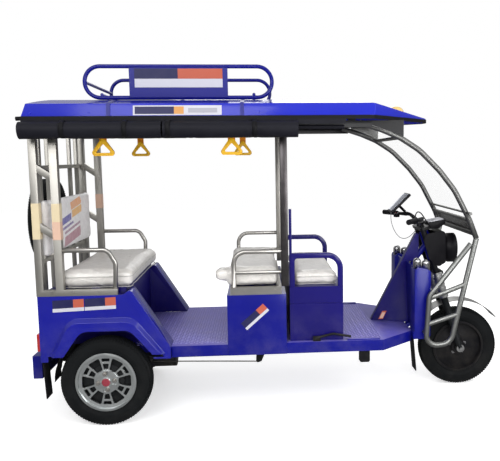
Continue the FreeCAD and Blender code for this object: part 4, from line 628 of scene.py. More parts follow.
def shadeInsideRim(side):
    # what lies behind the spokes of a rear wheel, which gets the dark rubber finish as painted shade
    middle = boxMiddle("rear_tyre_left" if side > 0 else "rear_tyre_right")
    return lambda spot, normal: (side * (spot.y - middle.y) < 0.0155
                                 and math.hypot(spot.x - middle.x, spot.z - middle.z) < 0.159)


otherLooks = {
    # the floor's upward faces take the lighter blue: painted top light
    "floor_deck": (("treadBlueLitTop", lambda spot, normal: normal.z > 0.8),),
    # the far middle post keeps the lighter post steel and the near one the darkened steel: painted shade
    "mid_posts": (("postSteel", lambda spot, normal: spot.y > 0),),
    "roof_canopy": (("blackPaint", lambda spot, normal: normal.z < -0.3),),
    "windscreen_frame": (("blackPaint", lambda spot, normal: abs(spot.y) > 0.37535 and spot.z > 1.5),),
    "grab_handles": (("orangePlastic", lambda spot, normal: spot.z > 1.532),),
    "front_fork": (("blackPaint", lambda spot, normal: spot.z > 0.735),
                   ("wheelDark", lambda spot, normal: 0.26 < spot.z < 0.572)),
    # the rim's inner faces behind the spokes are dark: painted shade
    "rear_rim_right": (("wheelDark", shadeInsideRim(-1)),),
    "rear_rim_left": (("wheelDark", shadeInsideRim(1)),),
    "handlebar": (("chrome", lambda spot, normal: spot.z < 1.03),),
}


def easeNode(node, look, width):
    piece = copyOfNode(node, node + "_eased")
    easeEdges(piece, width / 1000, segments=2 if width >= 1.2 else 1, smooth=38)
    finishPiece(piece, bodyOf[node], look, [node])
    for count, (other, test) in enumerate(otherLooks.get(node, ()), 1):
        piece.data.materials.append(looks[other])
        for face in piece.data.polygons:
            if test(face.center, face.normal):
                face.material_index = count


for look, nodes in easedNodes.items():
    for node, width in nodes.items():
        easeNode(node, look, width)
print("stage: eased CAD pieces")


# tyres

tyreShape = {
    "radius": 0.246, "width": 0.096, "rimRadius": 0.158, "steps": 96,
    "blocks": 96, "blockDepth": 0.0024, "blockWidth": 0.0185, "blockLength": 0.0132,
    "sink": 0.0052, "slope": 0.0078,
    "rows": ((-0.72, 0.0, 0.62, -24), (-0.25, 0.5, 0.0, -5), (0.25, 0.0, 0.0, 5), (0.72, 0.5, 0.62, 24)),
}


def tyreProfile(shape):
    r, half, rim = shape["radius"] - shape["blockDepth"], shape["width"] / 2, shape["rimRadius"]
    wall = ((0, 0.62), (0.004, 0.79), (0.009, 0.8), (0.012, 0.84), (0.02, 0.9), (0.03, 0.965), (0.034, 0.985),
            (0.037, 0.965), (0.046, 0.975), (0.06, 0.93), (0.069, 0.865), (0.072, 0.87), (0.076, 0.81))
    right = [(rim + rise, half * share) for rise, share in wall] + [(r - 0.001, half * 0.6), (r, half * 0.3)]
    return right + [(r + 0.0006, 0.0)] + [(radius, -along) for radius, along in reversed(right)]


def treadTree(shape):
    # blocks set round the crown in staggered rows
    tree, given, end = geometryTree("treadBlocks", {
        "Blocks": shape["blocks"], "Block Size": (shape["blockLength"], shape["blockWidth"], 0.01),
        "Radius": shape["radius"]})
    join = addNode(tree, "JoinGeometry")
    for share, stagger, drop, lean in shape["rows"]:
        radius = mathNode(tree, "SUBTRACT", given["Radius"], shape["sink"] + drop * shape["slope"])
        circle = addNode(tree, "CurvePrimitiveCircle", mode="RADIUS", in_Resolution=given["Blocks"],
                         in_Radius=radius)
        points = addNode(tree, "CurveToPoints", mode="EVALUATED", in_Curve=circle.outputs["Curve"]).outputs
        cube = addNode(tree, "MeshCube", in_Size=given["Block Size"]).outputs["Mesh"]
        twist = math.radians(-10 if share < 0 else 10)
        turned = addNode(tree, "Transform", in_Geometry=cube, in_Rotation=(0.0, math.radians(lean), twist))
        aimed = addNode(tree, "FunctionNodeAlignRotationToVector", axis="Z", in_Vector=points["Normal"])
        placed = addNode(tree, "InstanceOnPoints", in_Points=points["Points"],
                         in_Instance=turned.outputs[0], in_Rotation=aimed.outputs[0])
        spun = addNode(tree, "Transform", in_Geometry=placed.outputs[0],
                       in_Rotation=(0.0, 0.0, 2 * math.pi * stagger / shape["blocks"]),
                       in_Translation=(0.0, 0.0, share * shape["width"] / 2))
        tree.links.new(spun.outputs[0], join.inputs[0])
    return closeTree(tree, join.outputs[0], end, "tyre")


def makeTyre(node, tree):
    carcass = lathe(node + "_carcass", tyreProfile(tyreShape), Vector(), "Y", tyreShape["steps"])
    tread = runTree(node + "_tread", tree)
    tread.data.transform(Matrix.Rotation(math.radians(90), 4, "X"))
    bm = bmesh.new()
    for part in (carcass, tread):
        bm.from_mesh(part.data)
        bpy.data.objects.remove(part)
    if node == "spare_wheel":  # hangs across the tail
        bm.transform(Matrix.Rotation(math.radians(90), 4, "Z"))
    bm.transform(Matrix.Translation(boxMiddle(node)))
    finishPiece(fromBmesh(node + "_tyre", bm, 35, outward=False), bodyOf[node], "tyre", [node])


treadGroup = treadTree(tyreShape)
for node in ("rear_tyre_right", "rear_tyre_left", "front_tyre", "spare_wheel"):
    makeTyre(node, treadGroup)

spareDisc = {"steps": 48, "windowRing": 6, "wall": 0.003, "profile": (
    (0.161, 0.034), (0.156, 0.032), (0.153, 0.014), (0.153, -0.014), (0.156, -0.032), (0.15, -0.03),
    (0.128, -0.018), (0.098, -0.022), (0.082, -0.03), (0.06, -0.031), (0.05, -0.026), (0.03, -0.026),
    (0.027, -0.034))}


def makeSpareDisc(node, facts):
    # pressed steel disc with windows and a barrel, turned about the length of the car
    centre, steps = boxMiddle(node), facts["steps"]
    turns = [2 * math.pi * step / steps for step in range(steps)]
    bm = bmesh.new()
    rings = [[bm.verts.new(centre + Vector((along, radius * math.cos(turn), radius * math.sin(turn))))
              for turn in turns] for radius, along in facts["profile"]]
    faces = bridgeRings(bm, rings)
    bm.faces.new(rings[-1])
    first = facts["windowRing"] * steps
    windows = [face for step, face in enumerate(faces[first:first + steps]) if step % 6 < 3]
    bmesh.ops.delete(bm, geom=windows, context="FACES")
    disc = fromBmesh(node + "_disc", bm)
    wall = disc.modifiers.new("wall", "SOLIDIFY")
    wall.thickness = facts["wall"]
    wall.offset = 0
    easeEdges(disc, 0.0008, segments=1, limit=50)
    finishPiece(disc, "root", "darkSteel")


makeSpareDisc("spare_wheel", spareDisc)
print("stage: tyres")


# padded seats

seatShapes = {
    "rear_seat_cushion": {"voxel": 0.009, "inset": 0.005, "cap": 0.011, "look": "seatVinyl", "fill": 0.85,
                          "seams": (0.02, 0.62), "wrap": 0.0022},
    "mid_seat_cushion": {"voxel": 0.008, "inset": 0.005, "cap": 0.009, "look": "seatVinyl", "fill": 0.85,
                         "seams": (), "wrap": 0.0018},
    "driver_seat_cushion": {"voxel": 0.008, "inset": 0.005, "cap": 0.009, "look": "seatVinyl", "fill": 0.85,
                            "seams": (0.05, 0.6), "wrap": 0.0024},
    "rear_backrest": {"voxel": 0.008, "inset": 0.004, "cap": 0.007, "look": "backrestVinyl", "fill": 0.8,
                      "seams": (), "wrap": 0.0014},
}
seatReach = 0.004  # how far a cover may pass its solid


def inflate(piece, cap):
    # air pressure fills the cover, and no point goes further than the cap
    start = [vert.co.copy() for vert in piece.data.vertices]
    swell = piece.modifiers.new("swell", "CLOTH")
    swell.settings.use_pressure = True
    swell.settings.uniform_pressure_force = 4
    swell.settings.effector_weights.gravity = 0
    swell.settings.quality = 4
    for step in range(1, 21):
        scene.frame_set(step)
    applyAll(piece)
    scene.frame_set(1)
    for vert, rest in zip(piece.data.vertices, start):
        move = vert.co - rest
        if move.length > cap:
            vert.co = rest + move.normalized() * cap


def wrinkle(piece, depth, low, high):
    # thin standing creases of the clear wrap, strongest near the edges, and a broad sag
    middle, half = (low + high) / 2, (high - low) / 2
    mesh = piece.data
    normals = [vert.normal.copy() for vert in mesh.vertices]
    for vert, normal in zip(mesh.vertices, normals):
        spot = vert.co
        edge = max(abs((spot.x - middle.x) / half.x), abs((spot.y - middle.y) / half.y)) ** 3
        bent = spot + noise.noise_vector(spot * 7) * 0.05
        ridge = 1 - abs(noise.noise(Vector((bent.x * 9, bent.y * 21, bent.z * 26))))
        fine = 1 - abs(noise.noise(Vector((bent.x * 34, bent.y * 13, bent.z * 40)) + Vector((5, 2, 9))))
        height = depth * (ridge ** 9 * 1.2 + fine ** 12 * 0.8) * (0.35 + 0.65 * edge)
        broad = noise.noise(spot * 5.5) * depth * 0.8
        vert.co = spot + normal * (height + broad - depth * 0.7)


def roundedCorners(halfX, halfY, corner, steps):
    # offsets from each corner's centre, with that centre, anticlockwise
    spots = []
    for index, (signX, signY) in enumerate(((1, 1), (-1, 1), (-1, -1), (1, -1))):
        for step in range(steps):
            turn = math.pi / 2 * (index + step / (steps - 1))
            spots.append((Vector((signX * (halfX - corner), signY * (halfY - corner))),
                          Vector((math.cos(turn), math.sin(turn)))))
    return spots


def evenPoints(points, gap):
    # extra points along a closed outline so that none are further apart than the gap
    spread = []
    for first, second in zip(points, points[1:] + points[:1]):
        count = max(1, int((second - first).length / gap))
        spread += [first.lerp(second, step / count) for step in range(count)]
    return spread


def pipedSeam(name, piece, node, share, radius=0.0024, inset=0.004, corner=0.03):
    # a corded seam laid on the finished cover
    low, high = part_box(node)
    middle, half = (low + high) / 2, (high - low) / 2
    z = low.z + (high.z - low.z) * share
    outline = []
    for centre, way in roundedCorners(half.x - inset, half.y - inset, corner, 6):
        spot = middle.to_2d() + centre + way * corner
        outline.append(Vector((spot.x, spot.y, z)))
    cover = BVHTree.FromObject(piece, bpy.context.evaluated_depsgraph_get())
    path = []
    for point in evenPoints(outline, 0.03):
        spot, normal = cover.find_nearest(point)[:2]
        path.append(Vector((spot.x, spot.y, point.z)) + Vector((normal.x, normal.y, 0)) * radius * 0.35)
    return tube(name, path, radius, closed=True, resolution=2, steps=2)


def makeCushion(node, facts):
    low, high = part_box(node)
    piece = copyOfNode(node, node + "_cover")
    middle = (low + high) / 2
    for vert in piece.data.vertices:
        vert.co = middle + Vector([value * (1 - 2 * facts["inset"] / (top - base))
                                   for value, base, top in zip(vert.co - middle, low, high)])
    remesh = piece.modifiers.new("even", "REMESH")
    remesh.mode = "VOXEL"
    remesh.voxel_size = facts["voxel"]
    applyAll(piece)
    inflate(piece, facts["cap"])
    finer = piece.modifiers.new("finer", "SUBSURF")
    finer.levels = finer.render_levels = 1
    applyAll(piece)
    wrinkle(piece, facts["wrap"], low, high)
    for vert in piece.data.vertices:
        vert.co.z = max(vert.co.z, low.z + 0.0003)
        vert.co = Vector([min(max(value, base - seatReach), top + seatReach)
                          for value, base, top in zip(vert.co, low, high)])
    piece.data.shade_smooth()
    finishPiece(piece, bodyOf[node], facts["look"], [node])
    for index, share in enumerate(facts["seams"]):
        seam = pipedSeam("%s_seam_%d" % (node, index), piece, node, share)
        finishPiece(seam, bodyOf[node], "piping")


for node, facts in seatShapes.items():
    makeCushion(node, facts)
print("stage: seats")


# rolled side curtains

curtainRoll = {"inner": 0.012, "pitch": 0.0058, "thickness": 0.0022, "perTurn": 20, "step": 0.018,
               "sag": 0.0025, "pinch": 0.08, "lump": 0.045, "strapWidth": 0.024}
farRoll = {"inner": 0.006, "pitch": 0.0034, "thickness": 0.0016, "shrink": 0.64}
curtainPlaces = (
    {"name": "rear", "start": -350, "end": 358, "y": 548, "z": 1603.5, "radius": 46.0, "straps": (-135, 175)},
    {"name": "front", "start": 366, "end": 1058, "y": 548, "z": 1603.5, "radius": 45.0, "straps": (392, 833)},
    {"name": "valance", "start": 1060, "end": 1309, "y": 483.3, "z": 1614, "radius": 12.6, "straps": ()},
)
curtainHeader = {"from": -346, "to": 1312, "y": 533.5, "top": 1653, "drop": 28,
                 "thickness": 0.0022, "step": 0.02}


def rolledSheet(name, start, end, radius, facts, straps, side):
    # one closed sheet wound on itself, pinched at its straps; returns its cut length too
    inner = min(facts["inner"], radius * 0.35)
    count = int((radius - inner) / facts["pitch"] * facts["perTurn"])
    rows = max(6, int((end - start).length / facts["step"]))
    bm = bmesh.new()
    rings = []
    cut = 0.0
    for row in range(rows + 1):
        centre = start.lerp(end, row / rows)
        grip = min(1, sum(math.exp(-((centre.x - strap) / 0.028) ** 2) for strap in straps))
        layers = []
        for thin in (0.0, facts["thickness"]):
            layer = []
            for index in range(count + 1):
                angle = math.radians(-60) - 2 * math.pi * index / facts["perTurn"]
                base = radius - facts["pitch"] * index / facts["perTurn"] - thin
                along, across = math.cos(angle) * 1.1, math.sin(angle) * 1.1
                lump = noise.noise(Vector((centre.x * 7, along, across + side * 9)))
                crease = noise.noise(Vector((centre.x * 30 + angle * 1.2, angle * 0.6, side * 5)))
                grow = 1 + facts["lump"] * lump * (1 - 0.7 * grip) + 0.012 * crease
                size = base * (grow - facts["pinch"] * grip)
                drop = facts["sag"] * (1 - grip) * radius / 0.046
                offset = Vector((0, size * math.cos(angle) * -side, size * math.sin(angle) - drop))
                layer.append(bm.verts.new(centre + offset))
                if row == 0 and index and not thin:
                    cut += (layer[-1].co - layer[-2].co).length
            layers.append(layer)
        rings.append(layers[0] + layers[1][::-1])
    bridgeRings(bm, rings)
    for ring in (rings[0], rings[-1]):
        for index in range(count):
            bm.faces.new((ring[index], ring[-1 - index], ring[-2 - index], ring[index + 1]))
    return fromBmesh(name, bm, 50), cut


def makeCurtain(place, side):
    facts = dict(curtainRoll)
    height, radius = place["z"], place["radius"] / 1000
    if side > 0:  # the far rolls are smaller and sit as high
        facts.update(farRoll)
        height += 1000 * radius * (1 - farRoll["shrink"])
        radius *= farRoll["shrink"]
    start, end = [at(place[key], side * place["y"], height) for key in ("start", "end")]
    straps = [at(x, 0, 0).x for x in place["straps"]]
    label = "%s_%s" % (place["name"], "left" if side > 0 else "right")
    roll, cut = rolledSheet("curtain_" + label, start, end, radius, facts, straps, side)
    finishPiece(roll, "root", "curtain", ["curtain_rolls"])
    inner, half = radius * 0.955, facts["strapWidth"] / 2
    section = [(inner, -half), (inner + 0.0016, -half + 0.001), (inner + 0.002, 0.0),
               (inner + 0.0016, half - 0.001), (inner, half)]
    for index, x in enumerate(straps):
        band = lathe("curtain_strap_%s_%d" % (label, index), section, Vector((x, start.y, start.z)), "X", 40)
        finishPiece(band, "root", "strap")
    print("curtain", label, "cut", round((end - start).length, 3), round(cut, 3))


def makeHeader(facts, side):
    # the flat head of the curtains, gathered a little between the roof edge and the rolls
    start, end = at(facts["from"], 0, 0).x, at(facts["to"], 0, 0).x
    rows = int((end - start) / facts["step"])
    bm = bmesh.new()
    rings = []
    for row in range(rows + 1):
        x = start + (end - start) * row / rows
        ring = []
        for thin, levels in ((0.0, (0, 1, 2, 3)), (facts["thickness"], (3, 2, 1, 0))):
            for level in levels:
                ripple = 0.0018 * level / 3 * math.sin(x * 62 + 3 * noise.noise(Vector((x * 4, side, 0))))
                y = side * (facts["y"] / 1000 + ripple + thin)
                ring.append(bm.verts.new((x, y, (facts["top"] - facts["drop"] * level / 3) / 1000)))
        rings.append(ring)
    bridgeRings(bm, rings, capped=True)
    header = fromBmesh("curtain_header_%d" % (side > 0), bm, 40)
    finishPiece(header, "root", "curtain")


for place in curtainPlaces:
    for side in (-1, 1):
        makeCurtain(place, side)
for side in (-1, 1):
    makeHeader(curtainHeader, side)
print("stage: curtains")


# printed plates without words, and reflective tape

inkColours = {
    "navy": (0.006, 0.007, 0.06, 1), "orange": (0.42, 0.085, 0.045, 1), "amber": (0.55, 0.26, 0.07, 1),
    "white": (0.5, 0.5, 0.56, 1), "grey": (0.33, 0.33, 0.38, 1), "tape": (0.62, 0.52, 0.34, 1),
    "pink": (0.6, 0.4, 0.3, 1),
}
plateGap = 0.0004


def stickerBands(split, strip):
    # a dark part, a bright end block and a pale strip under both
    return ((((0, 1), (0, 1)), "navy"), (((split, 1), (strip, 1)), "orange"), (((0, 1), (0, strip)), "white"))


plateBands = {
    "rack": ((((0, 1), (0, 1)), "white"), (((0, 0.49), (0.46, 1)), "navy"),
             (((0.49, 1), (0.46, 1)), "orange")),
    "roof": ((((0, 1), (0, 1)), "white"), (((0.02, 0.46), (0.12, 0.88)), "navy"),
             (((0.46, 0.57), (0.12, 0.88)), "amber"), (((0.62, 0.95), (0.25, 0.72)), "grey")),
    "console": ((((0.1, 0.9), (0.1, 0.95)), "orange"), (((0.2, 0.8), (0.2, 0.8)), "pink")),
}
postTapes = ((-342, -470, 1035, 1225, 38, ("tape", "tape")), (-239, -470, 1030, 1222, 40, ("pink", "tape")),
             (-239, 470, 1128, 1222, 40, ("pink", "pink")), (-342, 470, 1128, 1222, 38, ("tape", "tape")))


def inkedSlab(bm, layer, origin, across, up, out, box, depth, colour):
    # a thin film whose corners are given as shares of a plate
    (left, right), (low, high) = box
    shares = ((left, low), (right, low), (right, high), (left, high))
    corners = [origin + across * x + up * y for x, y in shares]
    rings = [[bm.verts.new(corner + out * rise) for corner in corners] for rise in (0, depth)]
    for face in bridgeRings(bm, rings, capped=True):
        for loop in face.loops:
            loop[layer] = inkColours[colour]


def makePlate(name, low, end, top, bands, depth=0.0008, body="root", slotName="board_blue"):
    # corners: lower left, lower right and the one above the first
    bm = bmesh.new()
    layer = bm.loops.layers.float_color.new("ink")
    across, up = end - low, top - low
    out = across.cross(up).normalized()
    for index, (box, colour) in enumerate(bands):
        inkedSlab(bm, layer, low, across, up, out, box, depth * (1 + 0.35 * index), colour)
    finishPiece(fromBmesh(name, bm, None), body, "printed")


def onSide(node, x, z):
    # a spot just proud of a node's right face
    return surfaceAt(node, at(x, -800, z), (0, 1, 0), at(x, -456, z)) - Vector((0, plateGap, 0))


def makeStickers():
    for index, x in enumerate((-262, -94)):
        spots = [onSide("rear_side_panels", x + ahead, z + index * 6)
                 for ahead, z in ((0, 640), (164, 646), (0, 704))]
        makePlate("side_sticker_%d" % index, *spots, stickerBands(0.66, 0.3))
    spots = [onSide("mid_seat_box", x, z) for x, z in ((770, 508), (893, 616), (736, 546))]
    makePlate("box_sticker", *spots, stickerBands(0.68, 0.3))
    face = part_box("sign_board")[0].y - plateGap
    spots = [at(x, face * 1000, z) for x, z in ((190, 1836), (662, 1836), (190, 1936))]
    makePlate("rack_plate", *spots, plateBands["rack"], depth=0.0012)
    spots = [onSide("roof_canopy", x, z) for x, z in ((212, 1674), (664, 1674), (212, 1724))]
    makePlate("roof_plate", *spots, plateBands["roof"], depth=0.0012)


def makeTape():
    # reflective film round all four faces of the rear posts
    for index, (x, y, low, high, wide, inks) in enumerate(postTapes):
        turn = 1 if y < 0 else -1
        width = wide / 1000
        bm = bmesh.new()
        layer = bm.loops.layers.float_color.new("ink")
        corner = at(x, y, low) + Vector((0, -turn * plateGap, 0))
        across, back = Vector((width, 0, 0)), Vector((0, turn * width, 0))
        up = Vector((0, 0, (high - low) / 1000))
        faces = ((0, 0, across, (0, -turn, 0)), (0, turn * (width + 2 * plateGap), across, (0, turn, 0)),
                 (-plateGap, 0, back, (-1, 0, 0)), (width + plateGap, 0, back, (1, 0, 0)))
        for part, colour in enumerate(inks):
            for moveX, moveY, along, out in faces:
                inkedSlab(bm, layer, corner + Vector((moveX, moveY, 0)), along, up, Vector(out),
                          ((0, 1), (part / 2, (part + 1) / 2)), 0.0007, colour)
        finishPiece(fromBmesh("post_tape_%d" % index, bm, None), "root", "printed")


makeStickers()
makeTape()
print("stage: plates")


# fasteners and tread plate

fastenings = {
    "frame": {"Head Radius": 0.0075, "Head Depth": 0.005}, "roof": {"Head Radius": 0.0045},
    "rearNuts": {"radius": 0.0085, "depth": 0.014, "circle": 0.045, "count": 4, "first": 8},
    "frontNuts": {"radius": 0.0075, "depth": 0.009, "circle": 0.047, "count": 5, "first": 20},
    "capDome": ((0.0, 0.0), (0.0225, 0.0), (0.0225, 0.0012), (0.019, 0.0026), (0.012, 0.0036), (0.0, 0.0042)),
}
frameBolts = {"rear_posts": ((-263, 748), (-150, 744), (-11, 742)), "seat_rails": ((764, 727), (925, 726))}
chequerPlates = (("rear_floor", (150, 652), (-418, 418)), ("front_floor", (1318, 1528), (-400, 400)))


def bothSides(node, places):
    # where lines across the car meet a node's right and left faces
    points, aims = [], []
    for x, z in places:
        for side in (-1, 1):
            spot = surfaceAt(node, at(x, side * 800, z), (0, -side, 0))
            if spot is not None:
                points.append(spot)
                aims.append((0, side, 0))
    return points, aims


def nutRing(name, node, tree, facts, middle, sides):
    points, aims = [], []
    for side in sides:
        for step in range(facts["count"]):
            circle = facts["circle"]
            turn = math.radians(facts["first"]) + 2 * math.pi * step / facts["count"]
            start = middle + Vector((circle * math.cos(turn), side * 0.3, circle * math.sin(turn)))
            points.append(surfaceAt(node, start, (0, -side, 0), start))
            aims.append((0, side, 0))
    sizes = {"Head Radius": facts["radius"], "Head Depth": facts["depth"]}
    finishPiece(runTree(name, tree, points, sizes, aims), bodyOf[node])


def makeFasteners():
    bolts = boltTree("hexBolts", "railSteel")
    points, aims = [], []
    for node, places in frameBolts.items():
        found = bothSides(node, places)
        points += found[0]
        aims += found[1]
    finishPiece(runTree("frame_bolts", bolts, points, fastenings["frame"], aims), "root")
    for node, side in (("rear_rim_right", -1), ("rear_rim_left", 1)):
        middle = boxMiddle(node)
        nutRing(node + "_nuts", node, bolts, fastenings["rearNuts"], middle, (side,))
        hub = surfaceAt(node, middle + Vector((0, side * 0.3, 0)), (0, -side, 0), middle)
        dome = [(radius, side * along) for radius, along in fastenings["capDome"]]
        cap = lathe(node + "_cap", dome, hub, "Y", 36)
        finishPiece(cap, bodyOf[node], "redPlastic")
    studs = boltTree("hubStuds", "chrome")
    nutRing("front_rim_nuts", "front_rim", studs, fastenings["frontNuts"], boxMiddle("front_tyre"), (-1, 1))
    points, aims = bothSides("roof_canopy", [(x, 1688) for x in range(-300, 1440, 290)])
    aims = [(0, aim[1], 0.2) for aim in aims]
    rivets = runTree("roof_rivets", rivetTree("domedRivets", "roofBlue"), points, fastenings["roof"], aims)
    finishPiece(rivets, "root")


def makeChequer():
    # the lozenges take the paler blue, a painted highlight
    tree = chequerTree("chequerPlate", "treadLozengeHighlight")
    for name, (back, front), (right, left) in chequerPlates:
        long, wide = (front - back) / 1000, (left - right) / 1000
        columns = int(0.71 * (long + wide) / 0.02) // 2 * 2 + 1
        centre = surfaceAt("floor_deck", at((back + front) / 2, (right + left) / 2, 600), (0, 0, -1))
        piece = runTree(name + "_chequer", tree, [centre], {"Long": long, "Wide": wide, "Columns": columns})
        finishPiece(piece, "root")


# brackets, liners and rods

trimShapes = {
    "shield": ((0.083, 0.0), (0.1, 0.002), (0.14, 0.0), (0.1525, -0.004), (0.1525, -0.007), (0.14, -0.003),
               (0.1, -0.001), (0.083, -0.003)),
    "liner": {"radius": 0.278, "from": 150, "to": 180, "inner": 0.338, "outer": 0.452, "thickness": 0.0016},
    "rod": ((210, -300, 297), (300, -300, 295), (560, -300, 287), (826, -300, 277)),
    "rodEar": ((818, 372), (898, 372), (872, 338), (846, 279), (822, 271), (814, 281)),
    # a black sheet inside the wheelhouse behind each rear wheel, standing for the deep shade there: painted
    # shade
    "wheelhouse_shade": ((-296, 432), (-188, 432), (-206, 352), (-250, 336), (-296, 340)),
    "footEar": ((1402, 372), (1462, 372), (1462, 296), (1455, 289), (1410, 289), (1402, 297)),
    "roofStub": ((-398, -452, 1664), (-372, -452, 1665), (-342, -452, 1666), (-318, -452, 1666)),
    "reflector": ((1566, 446), (1600, 446), (1594, 506)),
}


def makeLiner(node, side, facts):
    # a rubber flap bent round the back of the tyre
    middle = boxMiddle(node)
    bm = bmesh.new()
    rings = []
    for step in range(19):
        turn = math.radians(facts["from"] + (facts["to"] - facts["from"]) * step / 18)
        ring = []
        for y, thick in ((facts["inner"], 0), (facts["outer"], 0), (facts["outer"], 1), (facts["inner"], 1)):
            ripple = 0.003 * noise.noise(Vector((step * 0.4, y * 20, side * 3)))
            reach = facts["radius"] + facts["thickness"] * thick + ripple
            ahead, up = reach * math.cos(turn), reach * math.sin(turn)
            ring.append(bm.verts.new((middle.x + ahead, side * y, middle.z + up)))
        rings.append(ring)
    bridgeRings(bm, rings, capped=True)
    finishPiece(fromBmesh("wheel_liner_%d" % (side > 0), bm, 40), "root", "rubber")


def makeEar(name, outline, y, width):
    # a small folded bracket seen from the side; the same shape also makes the flat black sheets of painted
    # wheelhouse shade
    bm = bmesh.new()
    near, far = [[bm.verts.new(at(x, y + shift, z)) for x, z in outline] for shift in (-width / 2, width / 2)]
    bm.faces.new(near)
    bm.faces.new(far[::-1])
    for index in range(len(outline)):
        follow = (index + 1) % len(outline)
        bm.faces.new((near[index], far[index], far[follow], near[follow]))
    ear = easeEdges(fromBmesh(name, bm), 0.003)
    finishPiece(ear, "root", "blackPaint")


def makeTrim():
    for node, side in (("rear_tyre_right", -1), ("rear_tyre_left", 1)):
        profile = [(radius, side * along) for radius, along in trimShapes["shield"]]
        shield = lathe(node + "_shield", profile, boxMiddle(node), "Y", 64, 30)
        finishPiece(shield, bodyOf[node], "wheelDark")
        makeLiner(node, side, trimShapes["liner"])
    rod = tube("brake_rod_trim", [at(*point) for point in trimShapes["rod"]], 0.0032)
    finishPiece(rod, "root", "darkSteel")
    makeEar("rod_ear", trimShapes["rodEar"], -300, 22)
    makeEar("foot_ear", trimShapes["footEar"], -404, 34)
    # black sheets in the wheelhouses: painted shade
    for side in (-1, 1):
        makeEar("splash_%d" % (side > 0), trimShapes["wheelhouse_shade"], side * 339, 5)
    stub = tube("roof_stub", [at(*point) for point in trimShapes["roofStub"]], 0.011)
    finishPiece(stub, "root", "rubber")
    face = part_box("console")[0].y - plateGap
    spots = [at(x, face * 1000, z) for x, z in trimShapes["reflector"]]
    makePlate("console_reflector", *spots, plateBands["console"])


makeFasteners()
makeTrim()
makeChequer()
print("stage: fasteners and trim")


# steering head: screen, instrument lid, switches and cables

screenShape = {"foot": (1700, 188, 1092), "lean": 46, "thickness": 0.009, "half": 0.057, "low": 0.01,
               "high": 0.158, "round": 0.009, "depth": 0.0012}
lidShape = {"back": (1893, 0, 1044), "front": (1990, 0, 1060.5), "half": 0.054, "round": 0.012,
            "depth": 0.006}
switchShape = {"place": (1753, 222, 1066), "size": (0.034, 0.03, 0.026), "turn": 24,
               "knob": ((0, 0), (0.0042, 0), (0.0042, 0.003), (0.003, 0.0042), (0, 0.0046)),
               "knobs": ((-0.008, "redPlastic"), (0.006, "greyPlastic"))}
cables = {
    "display_cable": {"look": "greyCable", "diameter": 4.6, "points": (
        (1708, 188, 1088), (1706, 188, 1052), (1714, 186, 1008), (1732, 180, 962), (1756, 166, 928),
        (1784, 140, 918), (1810, 108, 934), (1830, 78, 962), (1846, 56, 992), (1858, 42, 1002))},
    "throttle_cable": {"look": "rubber", "diameter": 7, "points": (
        (1768, -206, 1072), (1776, -178, 1092), (1790, -146, 1112), (1812, -112, 1118), (1838, -84, 1104),
        (1862, -66, 1074), (1884, -62, 1042), (1906, -60, 1012))},
    "switch_cable": {"look": "rubber", "diameter": 6, "points": (
        (1768, 206, 1072), (1780, 176, 1088), (1796, 140, 1096), (1820, 104, 1088), (1846, 78, 1066),
        (1870, 64, 1040), (1892, 58, 1014))},
}


def roundedPlate(name, origin, across, up, low, high, facts):
    # a thin plate with rounded corners and a raised rim, standing on a plane
    out, depth, corner = across.cross(up).normalized(), facts["depth"], facts["round"]
    bm = bmesh.new()
    rings = []
    for inset, share in ((0.0, 0.0), (0.0, 0.8), (0.0006, 1.0), (0.0035, 1.0), (0.0042, 0.72)):
        ring = []
        for centre, way in roundedCorners(facts["half"], (high - low) / 2, corner, 6):
            flat = centre + way * (corner - inset)
            spot = origin + across * flat.x + up * (flat.y + (low + high) / 2) + out * (depth * share)
            ring.append(bm.verts.new(spot))
        rings.append(ring)
    bridgeRings(bm, rings, capped=True)
    return fromBmesh(name, bm, 30)


def makeScreenFace(facts):
    lean = math.radians(facts["lean"])
    up, out = Vector((math.sin(lean), 0, math.cos(lean))), Vector((-math.cos(lean), 0, math.sin(lean)))
    origin = at(*facts["foot"]) + out * (facts["thickness"] + 0.0002)
    piece = roundedPlate("display_screen", origin, up.cross(out), up, facts["low"], facts["high"], facts)
    finishPiece(piece, "steering", "screenFace")


def makeLid(facts):
    back, front = at(*facts["back"]), at(*facts["front"])
    reach = front - back
    piece = roundedPlate("instrument_lid", back + Vector((0, 0, plateGap)), Vector((0, -1, 0)),
                         reach.normalized(), 0.0, reach.length, facts)
    finishPiece(piece, "steering", "greyPlastic")


def makeSwitches(facts):
    # a switch box beside each grip, clamped round the bar
    x, y, z = facts["place"]
    for side in (-1, 1):
        spot = at(x, side * y, z)
        bm = bmesh.new()
        bmesh.ops.create_cube(bm, size=1)
        bm.transform(Matrix.Translation(spot) @ Matrix.Rotation(math.radians(side * facts["turn"]), 4, "Z")
                     @ Matrix.Diagonal((*facts["size"], 1)))
        box = easeEdges(fromBmesh("switch_box_%d" % (side > 0), bm), 0.006, segments=3)
        finishPiece(box, "steering", "blackPlastic")
        for index, (along, look) in enumerate(facts["knobs"]):
            knob = lathe("switch_knob_%d_%d" % (side > 0, index), facts["knob"],
                         spot + Vector((along, 0, facts["size"][2] / 2)), "Z", 16)
            finishPiece(knob, "steering", look)


def makeCable(name, facts):
    route = [at(*point) for point in facts["points"]]
    curve = nurbsCurve(name, route, 8)
    cable = linkPiece(name, curve)
    line = bpy.data.meshes.new_from_object(cable)
    curve.bevel_depth = facts["diameter"] / 2000
    curve.bevel_resolution = 4
    finishPiece(cable, "steering", facts["look"])


makeScreenFace(screenShape)
makeLid(lidShape)
makeSwitches(switchShape)
for name, facts in cables.items():
    makeCable(name, facts)
print("stage: steering head")


# rubber trim round the roof edge

roofTrim = {"low": 1.6505, "high": 1.671, "thickness": 0.0035, "gap": 0.0003}


